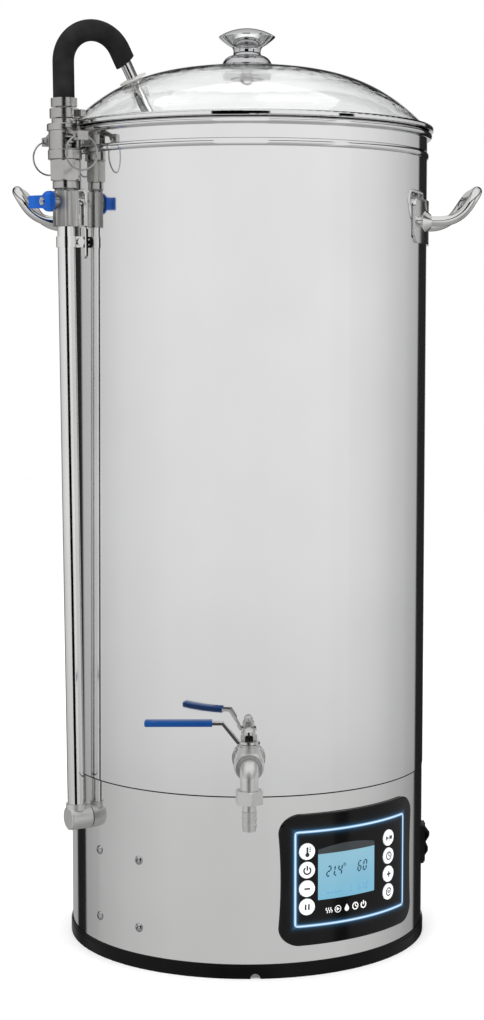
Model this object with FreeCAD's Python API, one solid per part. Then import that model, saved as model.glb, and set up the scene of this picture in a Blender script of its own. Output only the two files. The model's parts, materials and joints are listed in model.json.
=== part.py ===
"""Electric all-in-one brewer: a tall steel kettle on a heated base with a pump, a control
panel, a front tap, a recirculation riser and a glass lid that carries the return hose.

Frame: the origin is on the kettle's axis, on the plane that the base stands on. +Z is up and
-Y is the front, where the tap is. All sizes are in millimetres.

An azimuth is an angle in degrees round the kettle's axis, 0 at the front and growing towards
+X. Most pieces are drawn as if they stood at the front and are then turned to their azimuth,
so in those functions -Y points outwards and +X runs along the wall.
"""
import FreeCAD, Part

import math
import os

Vector = FreeCAD.Vector
ORIGIN = Vector(0, 0, 0)
ALONG_X = Vector(1, 0, 0)
ALONG_Y = Vector(0, 1, 0)
UP = Vector(0, 0, 1)

# ---- kettle and base ---------------------------------------------------------------------
kettle_radius = 171.5
kettle_wall = 1.2
shell_radius = 170.9
shell_wall = 1.0
ring_radius = 172.5
ring_height = 12.9
ring_floor = 4.0
seam_height = 166.0
seam_thickness = 1.2
floor_height = 178.0
floor_thickness = 1.5
bead_height = 746.7
rim_height = 765.2
rim_roll_radius = 3.3
rim_radius = 176.0

# ---- lid ---------------------------------------------------------------------------------
dome_apex = 830.0
dome_drop = 54.0
dome_drop_radius = 168.0
dome_power = 3.2
glass_thickness = 3.6
glass_radius = 171.7
lid_rim_radius = 177.2
lid_rim_bottom = 768.9
lid_rim_top = 774.2
skirt_radius = 168.4
skirt_bottom = 760.0

# ---- front tap ---------------------------------------------------------------------------
tap_height = 202.7
tap_stem_distance = 202.0
spout_distance = 226.0
spout_drop = 16.8
union_nut_height = 12.0
hose_tail_length = 24.2
ball_clearance = 0.4
stem_clearance = 0.08
lever_lift = 19.2
lever_crank = 16.8
lever_plate = 2.4
sleeve_start = 32.3
sleeve_end = 91.7

# ---- recirculation riser -----------------------------------------------------------------
riser_azimuth = -61.0
riser_distance = 183.7
riser_tilt = 0.6
stub_height = 128.5
pipe_radius = 8.0
valve_bottom = 677.0
valve_top = 709.2
valve_stem_height = 699.7
collar_bottom = 711.0
hex_bottom = 718.5
coupler_bottom = 737.3
coupler_top = 769.3
coupler_flat = 13.0
lever_pivot_radius = 12.5
lever_pivot_height = 762.0
ring_hang_radius = 36.0
ring_hang_height = 756.0
ring_hang_lift = 0.5
pull_ring_radius = 15.35
pull_ring_wire = 0.8

# ---- return hose -------------------------------------------------------------------------
foam_radius = 9.8
hose_radius = 7.5
hose_bore = 5.3
foam_start = 792.6
arch_radius = 30.0
arch_height = 824.9
return_tube_tilt = 27.4
foam_tail = 12.0
foam_end_slant = 15.0
return_tube_bottom = 775.0

# ---- control panel -----------------------------------------------------------------------
panel_azimuth = 35.75
panel_radius = 174.0
panel_half_width = 77.0
panel_bottom = 28.6
panel_top = 149.0
button_radius = 7.5
button_gap = 0.4
button_rows = (115.4, 98.4, 81.3, 64.5)
left_buttons_azimuth = 17.6
right_buttons_azimuth = 48.15
LEFT_BUTTONS = ("button_temperature", "button_power", "button_minus", "button_manual_pause")
RIGHT_BUTTONS = ("button_start_stop", "button_timer", "button_plus", "button_auto_pause")

# ---- rocker switch and mains inlet -------------------------------------------------------
switch_azimuth = 83.5
rocker_pivot_distance = 170.0
rocker_pivot_height = 86.8
gland_height = 40.0
gland_bore = 4.0

# ---- pump --------------------------------------------------------------------------------
pump_azimuth = -44.9
pump_height = 69.05
pump_screw_turn = 9.0
pump_screw_rise = 31.45

# ---- side handles ------------------------------------------------------------------------
handle_height = 684.3
handle_bar_radius = 4.75
handle_leg_spread = 46.0
handle_bend_start = 180.0
handle_bend_radius = 32.0
handle_bend_angle = 57.0
handle_rise = 17.0

# ---- malt pipe ---------------------------------------------------------------------------
malt_radius = 150.0
malt_wall = 1.2
malt_bottom = 196.0
malt_top = 735.0


# ---- drawing helpers ---------------------------------------------------------------------
def outline(start, *steps):
    """A closed wire in the XZ plane. A step is a point, or a pair (through, end) for an arc."""
    edges = []
    here = Vector(start[0], 0, start[1])
    first = here
    for step in steps:
        if isinstance(step[0], tuple):
            through = Vector(step[0][0], 0, step[0][1])
            end = Vector(step[1][0], 0, step[1][1])
            edges.append(Part.Arc(here, through, end).toShape())
        else:
            end = Vector(step[0], 0, step[1])
            edges.append(Part.LineSegment(here, end).toShape())
        here = end
    if here.distanceToPoint(first) > 1e-6:
        edges.append(Part.LineSegment(here, first).toShape())
    return Part.Wire(edges)


def turned(start, *steps):
    """The solid that an outline of radius and height sweeps round the Z axis."""
    return Part.Face(outline(start, *steps)).revolve(ORIGIN, UP, 360)


def slab(wire, y_from, y_to):
    """An XZ outline given thickness along Y."""
    face = Part.Face(wire)
    face.translate(Vector(0, y_from, 0))
    return face.extrude(Vector(0, y_to - y_from, 0))


def disc(radius, bottom, top, x=0.0, y=0.0):
    return Part.makeCylinder(radius, top - bottom, Vector(x, y, bottom))


def ring(outer, inner, bottom, top):
    return disc(outer, bottom, top).cut(disc(inner, bottom - 1, top + 1))


def block(x0, x1, y0, y1, z0, z1):
    return Part.makeBox(x1 - x0, y1 - y0, z1 - z0, Vector(x0, y0, z0))


def rod(radius, start, end):
    way = end - start
    return Part.makeCylinder(radius, way.Length, start, way)


def outward(radius, near, far, x=0.0, z=0.0):
    """A round bar that points out of the front, between two distances from the axis."""
    return rod(radius, Vector(x, -near, z), Vector(x, -far, z))


def hexagon(across_flats, bottom, top, turn=0.0):
    corner = across_flats / math.sqrt(3)
    points = []
    for k in range(7):
        angle = math.radians(60 * k + turn)
        points.append(Vector(corner * math.sin(angle), -corner * math.cos(angle), bottom))
    return Part.Face(Part.makePolygon(points)).extrude(Vector(0, 0, top - bottom))


def nut(across_flats, bottom, top, turn=0.0):
    """A hexagon with its corners taken off at both ends."""
    corner = across_flats / math.sqrt(3)
    bevel = (corner - across_flats / 2) * 0.6
    envelope = turned(
        (0, bottom),
        (corner - bevel, bottom),
        (corner, bottom + bevel),
        (corner, top - bevel),
        (corner - bevel, top),
        (0, top),
    )
    return hexagon(across_flats, bottom, top, turn).common(envelope)


def laid_outward(shape, distance, height):
    """Tips a shape drawn along +Z so that its +Z points out of the front."""
    shape.rotate(ORIGIN, ALONG_X, 90)
    shape.translate(Vector(0, -distance, height))
    return shape


def sector(outer, inner, bottom, top, from_azimuth, to_azimuth):
    """A piece of a ring between two azimuths."""
    sweep = to_azimuth - from_azimuth
    height = top - bottom
    solid = Part.makeCylinder(outer, height, Vector(0, 0, bottom), UP, sweep)
    core = Part.makeCylinder(inner, height + 2, Vector(0, 0, bottom - 1), UP, 360)
    solid = solid.cut(core)
    solid.rotate(ORIGIN, UP, from_azimuth - 90)
    return solid


def at_azimuth(shape, azimuth):
    shape.rotate(ORIGIN, UP, azimuth)
    return shape


def bent_bar(points, bend_radius, radius):
    """A round bar along straight runs that tangent arcs join."""
    solids = []
    here = points[0]
    for k in range(1, len(points) - 1):
        corner = points[k]
        into = (corner - points[k - 1]).normalize()
        out = (points[k + 1] - corner).normalize()
        turn = into.getAngle(out)
        setback = bend_radius * math.tan(turn / 2)
        bend_start = corner - into * setback
        bend_end = corner + out * setback
        if here.distanceToPoint(bend_start) > 1e-6:
            solids.append(rod(radius, here, bend_start))
        hinge = into.cross(out).normalize()
        centre = bend_start + hinge.cross(into) * bend_radius
        section = Part.Face(Part.Wire(Part.makeCircle(radius, bend_start, into)))
        solids.append(section.revolve(centre, hinge, math.degrees(turn)))
        here = bend_end
    solids.append(rod(radius, here, points[-1]))
    bar = solids[0]
    for solid in solids[1:]:
        bar = bar.fuse(solid)
    return bar.removeSplitter()


def bent_tube(points, bend_radius, outer, inner):
    return bent_bar(points, bend_radius, outer).cut(bent_bar(points, bend_radius, inner))


def rounded_frame(left, right, bottom, top, corner, waist=0.0):
    """A rectangle with round corners, whose upright sides may be drawn in at the middle."""
    c = corner
    d = corner * (1 - math.sqrt(0.5))
    middle = (bottom + top) / 2
    steps = [
        (right - c, bottom),
        ((right - d, bottom + d), (right, bottom + c)),
    ]
    if waist:
        steps.append(((right - waist, middle), (right, top - c)))
    else:
        steps.append((right, top - c))
    steps.append(((right - d, top - d), (right - c, top)))
    steps.append((left + c, top))
    steps.append(((left + d, top - d), (left, top - c)))
    if waist:
        steps.append(((left + waist, middle), (left, bottom + c)))
    else:
        steps.append((left, bottom + c))
    steps.append(((left + d, bottom + d), (left + c, bottom)))
    return outline((left + c, bottom), *steps)


def curved_plate(wire, outer, inner):
    """The outline pressed on to a cylinder round the Z axis, on the front side."""
    reach = outer + 10
    shell = Part.makeCylinder(outer, 1000, Vector(0, 0, -50))
    shell = shell.cut(Part.makeCylinder(inner, 1100, Vector(0, 0, -100)))
    return slab(wire, -reach, -40).common(shell)


def dome_height(radius):
    """The height of the glass dome's outer face at a distance from its middle."""
    return dome_apex - dome_drop * (radius / dome_drop_radius) ** dome_power


# ---- base --------------------------------------------------------------------------------
def base_ring():
    wall_inside = shell_radius + 0.2
    body = turned(
        (160, 0),
        (ring_radius, 0),
        (ring_radius, ring_height - 2.6),
        (ring_radius - 0.5, ring_height - 2.2),
        (ring_radius - 0.5, ring_height - 0.5),
        ((ring_radius - 0.65, ring_height - 0.15), (ring_radius - 1.0, ring_height)),
        (wall_inside, ring_height),
        (wall_inside, ring_floor),
        (160, ring_floor),
    )
    for azimuth in (2, 92, 182, 272):
        drain = outward(4.7, 150, ring_radius + 5)
        body = body.cut(at_azimuth(drain, azimuth))
    return body


def base_plate():
    plate = disc(shell_radius - shell_wall - 0.3, ring_floor, ring_floor + 1.5)
    for k in range(12):
        slot = block(-2.5, 2.5, -105, -60, 0, 10)
        plate = plate.cut(at_azimuth(slot, 30 * k))
    return plate


def base_shell():
    shell = ring(shell_radius, shell_radius - shell_wall, ring_floor, seam_height)
    panel_opening = sector(180, 160, 44, 137, 14.0, 57.5)
    shell = shell.cut(panel_opening)
    switch_opening = at_azimuth(block(-9.2, 9.2, -180, -160, 65.8, 103.4), switch_azimuth)
    shell = shell.cut(switch_opening)
    outlet = at_azimuth(outward(8.3, 150, 180, z=stub_height), riser_azimuth)
    shell = shell.cut(outlet)
    gland = at_azimuth(outward(8.1, 150, 180, z=gland_height), 180)
    shell = shell.cut(gland)
    for azimuth, height in pump_screw_places():
        shell = shell.cut(at_azimuth(outward(2.3, 150, 180, z=height), azimuth))
    return shell


def seam_gasket():
    return ring(kettle_radius - 0.3, 168.5, seam_height, seam_height + seam_thickness)


# ---- kettle ------------------------------------------------------------------------------
def kettle():
    outside = kettle_radius
    inside = kettle_radius - kettle_wall
    skirt = seam_height + seam_thickness
    floor_top = floor_height + floor_thickness
    roll = rim_roll_radius
    roll_middle = rim_radius - roll
    roll_start = rim_height - math.sqrt(roll**2 - (roll_middle - outside) ** 2)
    body = turned(
        (0, floor_height),
        (inside, floor_height),
        (inside, skirt),
        (outside, skirt),
        (outside, bead_height - 3.5),
        ((outside + 1.5, bead_height), (outside, bead_height + 3.5)),
        (outside, roll_start),
        ((rim_radius, rim_height), (roll_middle, rim_height + roll)),
        (inside + 0.8, rim_height + roll),
        (inside, rim_height + roll - 0.8),
        (inside, bead_height + 3.5),
        ((inside + 1.5, bead_height), (inside, bead_height - 3.5)),
        (inside, floor_top + 4),
        ((inside - 1.2, floor_top + 1.2), (inside - 4, floor_top)),
        (0, floor_top),
    )
    body = body.fuse(disc(6.4, floor_height - 28, floor_height))
    body = body.cut(disc(5.0, floor_height - 40, floor_top + 5))
    body = body.cut(outward(10.5, 150, 190, z=tap_height))
    body = body.cut(disc(3.05, 170, 190, 62, -38))
    return body


def heating_plate():
    """The aluminium spreader plate under the floor, with its tubular element brazed on."""
    plate = disc(125, floor_height - 6, floor_height)
    element = Part.makeTorus(96, 4.0, Vector(0, 0, floor_height - 8.5), UP, 0, 360, 320)
    element.rotate(ORIGIN, UP, 110)
    body = plate.fuse(element)
    for angle in (110, 70):
        x = 96 * math.cos(math.radians(angle))
        y = 96 * math.sin(math.radians(angle))
        body = body.fuse(disc(3.2, floor_height - 24, floor_height - 8.5, x, y))
    body = body.cut(disc(14, 150, 190))
    return body.cut(disc(7, 150, 190, 62, -38))


def floor_sensors():
    """A temperature probe through the floor and a dry-run cut-out against the plate."""
    probe = disc(3.0, floor_height - 16, floor_height + 9, 62, -38)
    probe = probe.fuse(disc(6.0, floor_height - 12, floor_height - 0.1, 62, -38))
    cutout = disc(9, floor_height - 14, floor_height - 6.1, -52, 40)
    cutout = cutout.fuse(disc(5, floor_height - 20, floor_height - 14, -52, 40))
    return Part.makeCompound([probe, cutout])


# ---- pump --------------------------------------------------------------------------------
def pump_screw_places():
    places = []
    for side in (-1, 1):
        for rise in (-1, 1):
            azimuth = pump_azimuth + side * pump_screw_turn
            places.append((azimuth, pump_height + rise * pump_screw_rise))
    return places


def pump_motor():
    inside = shell_radius - shell_wall
    body = outward(30, 93, 157, z=pump_height)
    for k in range(5):
        groove = outward(32, 100 + 10 * k, 104 + 10 * k, z=pump_height)
        groove = groove.cut(outward(28.6, 90, 160, z=pump_height))
        body = body.cut(groove)
    plate = sector(158, 155, pump_height - 39, pump_height + 39, -11.5, 11.5)
    body = body.fuse(plate)
    for side in (-1, 1):
        for rise in (-1, 1):
            height = pump_height + rise * pump_screw_rise
            post = outward(5, 156, inside - 0.1, z=height).cut(outward(2.0, 150, 180, z=height))
            body = body.cut(at_azimuth(outward(2.0, 150, 180, z=height), side * pump_screw_turn))
            body = body.fuse(at_azimuth(post, side * pump_screw_turn))
    return at_azimuth(body, pump_azimuth)


def pump_head():
    body = outward(31, 66, 92.8, z=pump_height)
    body = body.fuse(outward(24, 62, 66, z=pump_height))
    body = body.fuse(outward(6.4, 48, 62, z=pump_height))
    body = body.fuse(disc(6.4, pump_height + 20, pump_height + 44, 0, -79))
    return at_azimuth(body, pump_azimuth)


def pump_screws():
    """Four pan-head screws with hexagon sockets that hold the pump to the shell."""
    screws = []
    for azimuth, height in pump_screw_places():
        head = Part.makeSphere(5.2, Vector(0, -(shell_radius - 2.6), height))
        head = head.common(outward(4.2, shell_radius, shell_radius + 4, z=height))
        shank = outward(1.9, shell_radius - 9, shell_radius + 0.2, z=height)
        socket = laid_outward(hexagon(2.6, 0, 4), shell_radius + 1.2, height)
        screws.append(at_azimuth(head.fuse(shank).cut(socket), azimuth))
    return Part.makeCompound(screws)


def pump_hoses():
    """The suction hose from the kettle's drain and the delivery hose to the riser."""
    suction = bent_tube(
        [Vector(0, -61.5, pump_height), Vector(0, 0, pump_height), Vector(0, 0, floor_height - 1)],
        32, 9.5, 6.5,
    )
    suction = at_azimuth(suction, pump_azimuth)
    away = math.radians(riser_azimuth - pump_azimuth)
    heading = Vector(math.sin(away), -math.cos(away), 0)
    delivery = bent_tube(
        [
            Vector(0, -79, pump_height + 31.5),
            Vector(0, -79, stub_height),
            heading * 136 + Vector(0, 0, stub_height),
            heading * 160 + Vector(0, 0, stub_height),
        ],
        13, 9.0, 6.5,
    )
    return Part.makeCompound([suction, at_azimuth(delivery, pump_azimuth)])


# ---- control panel -----------------------------------------------------------------------
def control_housing():
    box = sector(169.6, 144, 41, 140, 12.9, 58.6)
    hollow = sector(175, 146, 43, 138, 13.6, 57.9)
    box = box.cut(hollow)
    for azimuth in (24, 47.5):
        for height in (56, 125):
            box = box.fuse(at_azimuth(outward(3, 145, 151.9, z=height), azimuth))
    return box


def control_board():
    board = block(-44, 44, -153.6, -152, 48, 133)
    relay = block(-36, -12, -164, -153.6, 52, 70)
    transformer = block(-8, 20, -163, -153.6, 50, 74)
    board = board.fuse(relay).fuse(transformer)
    return at_azimuth(board, panel_azimuth)


def light_frame_outline(width):
    """The centre line of the lit frame, grown or shrunk by a width."""
    return rounded_frame(-64.6 - width, 60.9 + width, 46.9 - width, 133.4 + width, 4.0 + width)


def light_band(grow, outer, inner):
    band = curved_plate(light_frame_outline(1.3 + grow), outer, inner)
    return band.cut(curved_plate(light_frame_outline(-1.3 - grow), outer + 1, inner - 1))


def display_outline(grow):
    """A window with a flat bottom and an arched top."""
    left = -43.7 - grow
    right = 18.3 + grow
    bottom = 69.6 - grow
    shoulder = 116.0 + grow
    crown = 119.8 + grow
    return outline(
        (left, bottom),
        (right, bottom),
        (right, shoulder),
        (((left + right) / 2, crown), (left, shoulder)),
    )


def button_holes():
    holes = []
    for azimuth in (left_buttons_azimuth, right_buttons_azimuth):
        for height in button_rows:
            hole = outward(button_radius + button_gap, 160, 185, z=height)
            holes.append(at_azimuth(hole, azimuth - panel_azimuth))
    return holes


def panel_bezel():
    shape = rounded_frame(
        -panel_half_width, panel_half_width, panel_bottom, panel_top, 17, waist=1.8
    )
    body = curved_plate(shape, panel_radius, shell_radius + 0.1)
    rim = [edge for edge in body.Edges if edge_lies_at(edge, panel_radius)]
    body = body.makeChamfer(0.9, rim)
    body = body.cut(light_band(0.1, panel_radius + 1, panel_radius - 1.0))
    body = body.cut(curved_plate(display_outline(0.15), panel_radius + 2, 160))
    for hole in button_holes():
        body = body.cut(hole)
    return at_azimuth(body, panel_azimuth)


def edge_lies_at(edge, radius):
    """True for an edge that runs along a cylinder of this radius round the Z axis."""
    for vertex in edge.Vertexes:
        if abs(math.hypot(vertex.X, vertex.Y) - radius) > 0.01:
            return False
    return True


def light_frame():
    return at_azimuth(light_band(0.0, panel_radius + 0.15, panel_radius - 0.9), panel_azimuth)


def lcd():
    return at_azimuth(curved_plate(display_outline(0), panel_radius - 0.1, 170.2), panel_azimuth)


def button(azimuth, height):
    cap = outward(button_radius, 165.5, panel_radius + 0.9, z=height)
    outer_edge = [edge for edge in cap.Edges if abs(edge.CenterOfMass.y + panel_radius + 0.9) < 0.01]
    cap = cap.makeFillet(0.6, outer_edge)
    flange = outward(button_radius + 0.7, 168.2, 169.6, z=height)
    return at_azimuth(cap.fuse(flange), azimuth)


def switch_bezel():
    """The switch's frame outside the shell, and its open box inside."""
    face = curved_plate(rounded_frame(-11.5, 11.5, 67.4, 105.6, 3), 173.6, shell_radius + 0.05)
    lip = curved_plate(rounded_frame(-10, 10, 69, 104, 2), 174.6, 172)
    box = block(-9, 9, -171.5, -152, 69.8, 103.2)
    body = face.fuse(lip).fuse(box)
    return at_azimuth(body.cut(block(-8, 8, -190, -161, 71.2, 102.4)), switch_azimuth)


def switch_rocker():
    """A rocker with two raised ends; the top end stands out further at rest."""
    profile = Part.makePolygon([
        Vector(0, -166.5, 97.0),
        Vector(0, -174.0, 101.2),
        Vector(0, -178.8, 94.5),
        Vector(0, -174.3, 86.6),
        Vector(0, -177.5, 79.4),
        Vector(0, -173.6, 73.6),
        Vector(0, -166.5, 74.8),
        Vector(0, -166.5, 97.0),
    ])
    body = Part.Face(profile).extrude(Vector(15, 0, 0))
    body.translate(Vector(-7.5, 0, 0))
    return at_azimuth(body, switch_azimuth)


def mains_gland():
    """A cable gland in the back of the shell, with its lock nut inside."""
    body = turned(
        (gland_bore, -12),
        (8.0, -12),
        (8.0, 0.1),
        (12.0, 0.1),
        (12.0, 1.6),
        (10.5, 2.0),
        (10.5, 8.0),
        (9.6, 8.4),
        (9.6, 16.0),
        ((8.6, 18.6), (6.2, 20.0)),
        (gland_bore, 20.0),
    )
    lock = nut(22, -6.6, -1.8).cut(disc(8.02, -10, 10))
    body = body.fuse(nut(22, 2, 8).cut(disc(9, 0, 10)))
    body = laid_outward(body.fuse(lock), shell_radius, gland_height)
    return at_azimuth(body, 180)


# ---- front tap ---------------------------------------------------------------------------
def tap_locknut():
    body = laid_outward(nut(30, 0, 6).cut(disc(10.4, -5, 15)), 0, tap_height)
    body.translate(Vector(0, -(kettle_radius - kettle_wall - 7.6), 0))
    return body


def tap_body():
    """The threaded shank through the wall and the two-piece ball valve body."""
    wall = kettle_radius
    stem = tap_stem_distance
    body = outward(10.3, wall - 10, wall + 6, z=tap_height)
    body = body.fuse(outward(15.0, wall + 0.1, wall + 2.1, z=tap_height))
    body = body.fuse(laid_outward(nut(27, 0, 6.5), wall + 2.1, tap_height))
    body = body.fuse(outward(9.5, wall + 8, stem - 8, z=tap_height))
    body = body.fuse(laid_outward(nut(24, 0, 7), stem - 20.5, tap_height))
    housing = Part.makeSphere(15.4, Vector(0, -stem, tap_height))
    housing = housing.common(outward(13.2, stem - 12, stem + 11.5, z=tap_height))
    body = body.fuse(housing)
    body = body.fuse(outward(11.6, stem + 8, stem + 14.5, z=tap_height))
    shoulder = Part.makeCone(12.4, 8.8, 12, Vector(0, -stem, tap_height + 4.5), UP)
    body = body.fuse(shoulder)
    body = body.fuse(disc(7.6, tap_height + 8, tap_height + 18.0, 0, -stem))
    body = body.cut(Part.makeSphere(9.5 + ball_clearance, Vector(0, -stem, tap_height)))
    body = body.cut(outward(6.0, wall - 20, stem + 20, z=tap_height))
    return body.cut(disc(3.5 + stem_clearance, tap_height, tap_height + 30, 0, -stem))


def tap_ball():
    """The ball with its stem. At rest its bore lies across the flow, so the tap is shut."""
    place = Vector(0, -tap_stem_distance, tap_height)
    ball = Part.makeSphere(9.5, place)
    ball = ball.cut(rod(6.0, place - ALONG_X * 15, place + ALONG_X * 15))
    stem = disc(3.5, tap_height + 7.5, tap_height + lever_lift + 10.0, 0, -tap_stem_distance)
    return ball.fuse(stem)


def tap_lever():
    """A cranked flat lever: a round eye on the stem, a slope up and a flat grip bar."""
    low = tap_height + lever_lift
    high = low + lever_crank
    end = sleeve_end - 1.7
    profile = outline(
        (9.5, low),
        (9.5, low + lever_plate),
        (-9.0, low + lever_plate),
        (-22.4, high + lever_plate),
        (-end, high + lever_plate),
        (-end, high),
        (-23.8, high),
        (-10.4, low),
    )
    bar = slab(profile, -4.6, 4.6)
    eye = disc(9.5, low, low + lever_plate)
    bar = bar.fuse(eye).cut(disc(3.5, low - 5, low + 10))
    bar.translate(Vector(0, -tap_stem_distance, 0))
    return bar


def tap_lever_sleeve():
    """The dipped plastic sleeve on the lever's grip bar, rounded at its closed end."""
    low = tap_height + lever_lift + lever_crank
    middle = low + lever_plate / 2
    section = rounded_frame(-5.7, 5.7, middle - 2.7, middle + 2.7, 2.2)
    grip = Part.Face(section).extrude(Vector(0, sleeve_end - sleeve_start, 0))
    grip.rotate(ORIGIN, UP, 90)
    grip.translate(Vector(-sleeve_start, 0, 0))
    closed_end = [edge for edge in grip.Edges if abs(edge.CenterOfMass.x + sleeve_end) < 0.01]
    grip = grip.makeFillet(1.6, closed_end)
    core = block(1.7 - sleeve_end, -20, -4.6, 4.6, low, low + lever_plate)
    grip = grip.cut(core)
    grip.translate(Vector(0, -tap_stem_distance, 0))
    return grip


def tap_stem_nut():
    low = tap_height + lever_lift + lever_plate + 0.1
    body = nut(12.5, low, low + 5.5, turn=30)
    body = body.fuse(disc(5.6, low + 5.5, low + 7.5))
    dome = Part.makeSphere(6.4, Vector(0, 0, low + 5.0))
    dome = dome.common(disc(5.6, low + 7.0, low + 13))
    body = body.fuse(dome).cut(disc(3.5, low - 5, low + 7.5))
    body.translate(Vector(0, -tap_stem_distance, 0))
    return body


def tap_spout():
    """The bend that turns the flow from the valve's outlet down to the hose tail."""
    start = tap_stem_distance + 14.6
    points = [
        Vector(0, -start, tap_height),
        Vector(0, -spout_distance, tap_height),
        Vector(0, -spout_distance, tap_height - spout_drop),
    ]
    spout = bent_bar(points, 9.0, 8.0)
    spout = spout.fuse(outward(9.6, start, start + 2.2, z=tap_height))
    return spout.cut(bent_bar(points, 9.0, 5.6))


def tap_hose_tail():
    """The hexagon union nut and the ridged tail that a hose pushes on to."""
    top = tap_height - spout_drop - 0.1
    nut_bottom = top - union_nut_height
    body = nut(22.0, nut_bottom, top, turn=8)
    barb_bottom = nut_bottom - hose_tail_length
    tail = turned(
        (0, nut_bottom + 1),
        (6.0, nut_bottom + 1),
        (6.0, nut_bottom - 6.5),
        (6.6, nut_bottom - 6.9),
        (6.0, nut_bottom - 12.0),
        (6.6, nut_bottom - 12.4),
        (6.0, nut_bottom - 17.5),
        (6.6, nut_bottom - 17.9),
        (5.7, barb_bottom),
        (0, barb_bottom),
    )
    body = body.fuse(tail).cut(disc(4.6, barb_bottom - 5, top + 5))
    body.translate(Vector(0, -spout_distance, 0))
    return body


# ---- recirculation riser -----------------------------------------------------------------
# These pieces are drawn with the pipe's axis on Z and the kettle's wall on the +Y side.
def on_riser(shape):
    """Moves a piece drawn on the riser's own axis to its place beside the kettle."""
    shape.rotate(Vector(0, 0, stub_height), ALONG_X, riser_tilt)
    shape.translate(Vector(0, -riser_distance, 0))
    return at_azimuth(shape, riser_azimuth)


def riser_place(x, y, z):
    """Where a point on the riser's own axes lies in the part's frame."""
    return on_riser(Part.Vertex(x, y, z)).Point


def riser_direction(x, y, z):
    """Which way a direction on the riser's own axes points in the part's frame."""
    return riser_place(x, y, z) - riser_place(0, 0, 0)


def riser_stub():
    """The horizontal outlet fitting: a capped cross tube with a socket for the pipe."""
    shell = riser_distance - shell_radius
    outer_end = 8.6
    body = rod(11.2, Vector(0, shell - 0.1, 0), Vector(0, -outer_end, 0))
    rim = [edge for edge in body.Edges if abs(edge.CenterOfMass.y + outer_end) < 0.01]
    body = body.makeFillet(1.5, rim)
    body = body.fuse(rod(8.2, Vector(0, shell + 6, 0), Vector(0, shell - 2, 0)))
    body = body.fuse(rod(6.4, Vector(0, shell + 22, 0), Vector(0, shell + 5, 0)))
    body = body.fuse(disc(9.6, 8, 13.5))
    body = body.cut(rod(5.0, Vector(0, shell + 30, 0), Vector(0, -outer_end + 3, 0)))
    body.translate(Vector(0, -riser_distance, stub_height))
    socket = on_riser(disc(pipe_radius + 0.02, stub_height + 5, stub_height + 20))
    return at_azimuth(body, riser_azimuth).cut(socket)


def riser_pipe():
    bottom = stub_height + 5.0
    pipe = disc(pipe_radius, bottom, valve_bottom + 5)
    return on_riser(pipe.cut(disc(pipe_radius - 1.2, bottom - 5, valve_bottom + 10)))


def riser_clamp():
    """A bracket on the kettle's wall, the band round the pipe and the bolt through both."""
    bottom = 658.4
    top = 668.2
    middle = (bottom + top) / 2
    wall = riser_clamp_gap(middle)
    band = disc(pipe_radius + 1.3, bottom, top).cut(disc(pipe_radius + 0.05, bottom - 5, top + 5))
    for side in (-1, 1):
        inner = 2.05 * side
        outer = 3.3 * side
        ear = block(min(inner, outer), max(inner, outer), 7.6, wall - 2.2, bottom, top)
        ear = ear.cut(disc(pipe_radius + 0.05, bottom - 5, top + 5))
        band = band.fuse(ear)
    hole = rod(1.6, Vector(-10, wall - 5.4, middle), Vector(10, wall - 5.4, middle))
    band = band.cut(hole)
    foot = rounded_frame(-3.4, 5, middle - 15, middle + 15, 4.1)
    foot = slab(foot, wall - 1.6, wall - 0.25)
    lug = block(-2, 2, pipe_radius + 1.6, wall - 1.5, bottom + 0.5, top - 0.5)
    bracket = foot.fuse(lug).cut(hole)
    bolt = rod(1.55, Vector(-6.5, wall - 5.4, middle), Vector(4, wall - 5.4, middle))
    head = rod(3.4, Vector(3.4, wall - 5.4, middle), Vector(5.6, wall - 5.4, middle))
    slot = block(4.8, 8, wall - 9, wall - 2, middle - 0.4, middle + 0.4)
    lock = rod(3.0, Vector(-5.8, wall - 5.4, middle), Vector(-3.4, wall - 5.4, middle))
    bolt = bolt.fuse(head).cut(slot).fuse(lock)
    return on_riser(Part.makeCompound([band, bracket, bolt]))


def riser_clamp_gap(height):
    """How far the kettle's wall is from the pipe's axis at a height."""
    lean = (height - stub_height) * math.tan(math.radians(riser_tilt))
    return riser_distance + lean - kettle_radius


def riser_valve_body():
    body = nut(21.4, valve_bottom, valve_top, turn=19)
    neck = 1.8
    body = body.fuse(disc(9.3, valve_top, valve_top + neck))
    middle = valve_stem_height
    boss = rod(7.0, Vector(0, -8, middle), Vector(0, -13.6, middle))
    body = body.fuse(boss)
    body = body.cut(Part.makeSphere(8.0 + ball_clearance, Vector(0, 0, middle)))
    body = body.cut(disc(6.0, valve_bottom - 5, valve_top + 10))
    body = body.cut(disc(pipe_radius + 0.02, valve_bottom - 5, valve_bottom + 5))
    stem_hole = rod(2.6 + stem_clearance, Vector(0, 0, middle), Vector(0, -20, middle))
    return on_riser(body.cut(stem_hole))


def riser_valve_ball():
    """The ball, its stem and the screw that holds the handle on. The valve is shut at rest."""
    middle = valve_stem_height
    ball = Part.makeSphere(8.0, Vector(0, 0, middle))
    ball = ball.cut(rod(5.0, Vector(-12, 0, middle), Vector(12, 0, middle)))
    stem = rod(2.6, Vector(0, -6.5, middle), Vector(0, -22.5, middle))
    head = rod(3.6, Vector(0, -22.5, middle), Vector(0, -24.4, middle))
    socket = rod(1.5, Vector(0, -23.4, middle), Vector(0, -26, middle))
    return on_riser(ball.fuse(stem).fuse(head).cut(socket))


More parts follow.
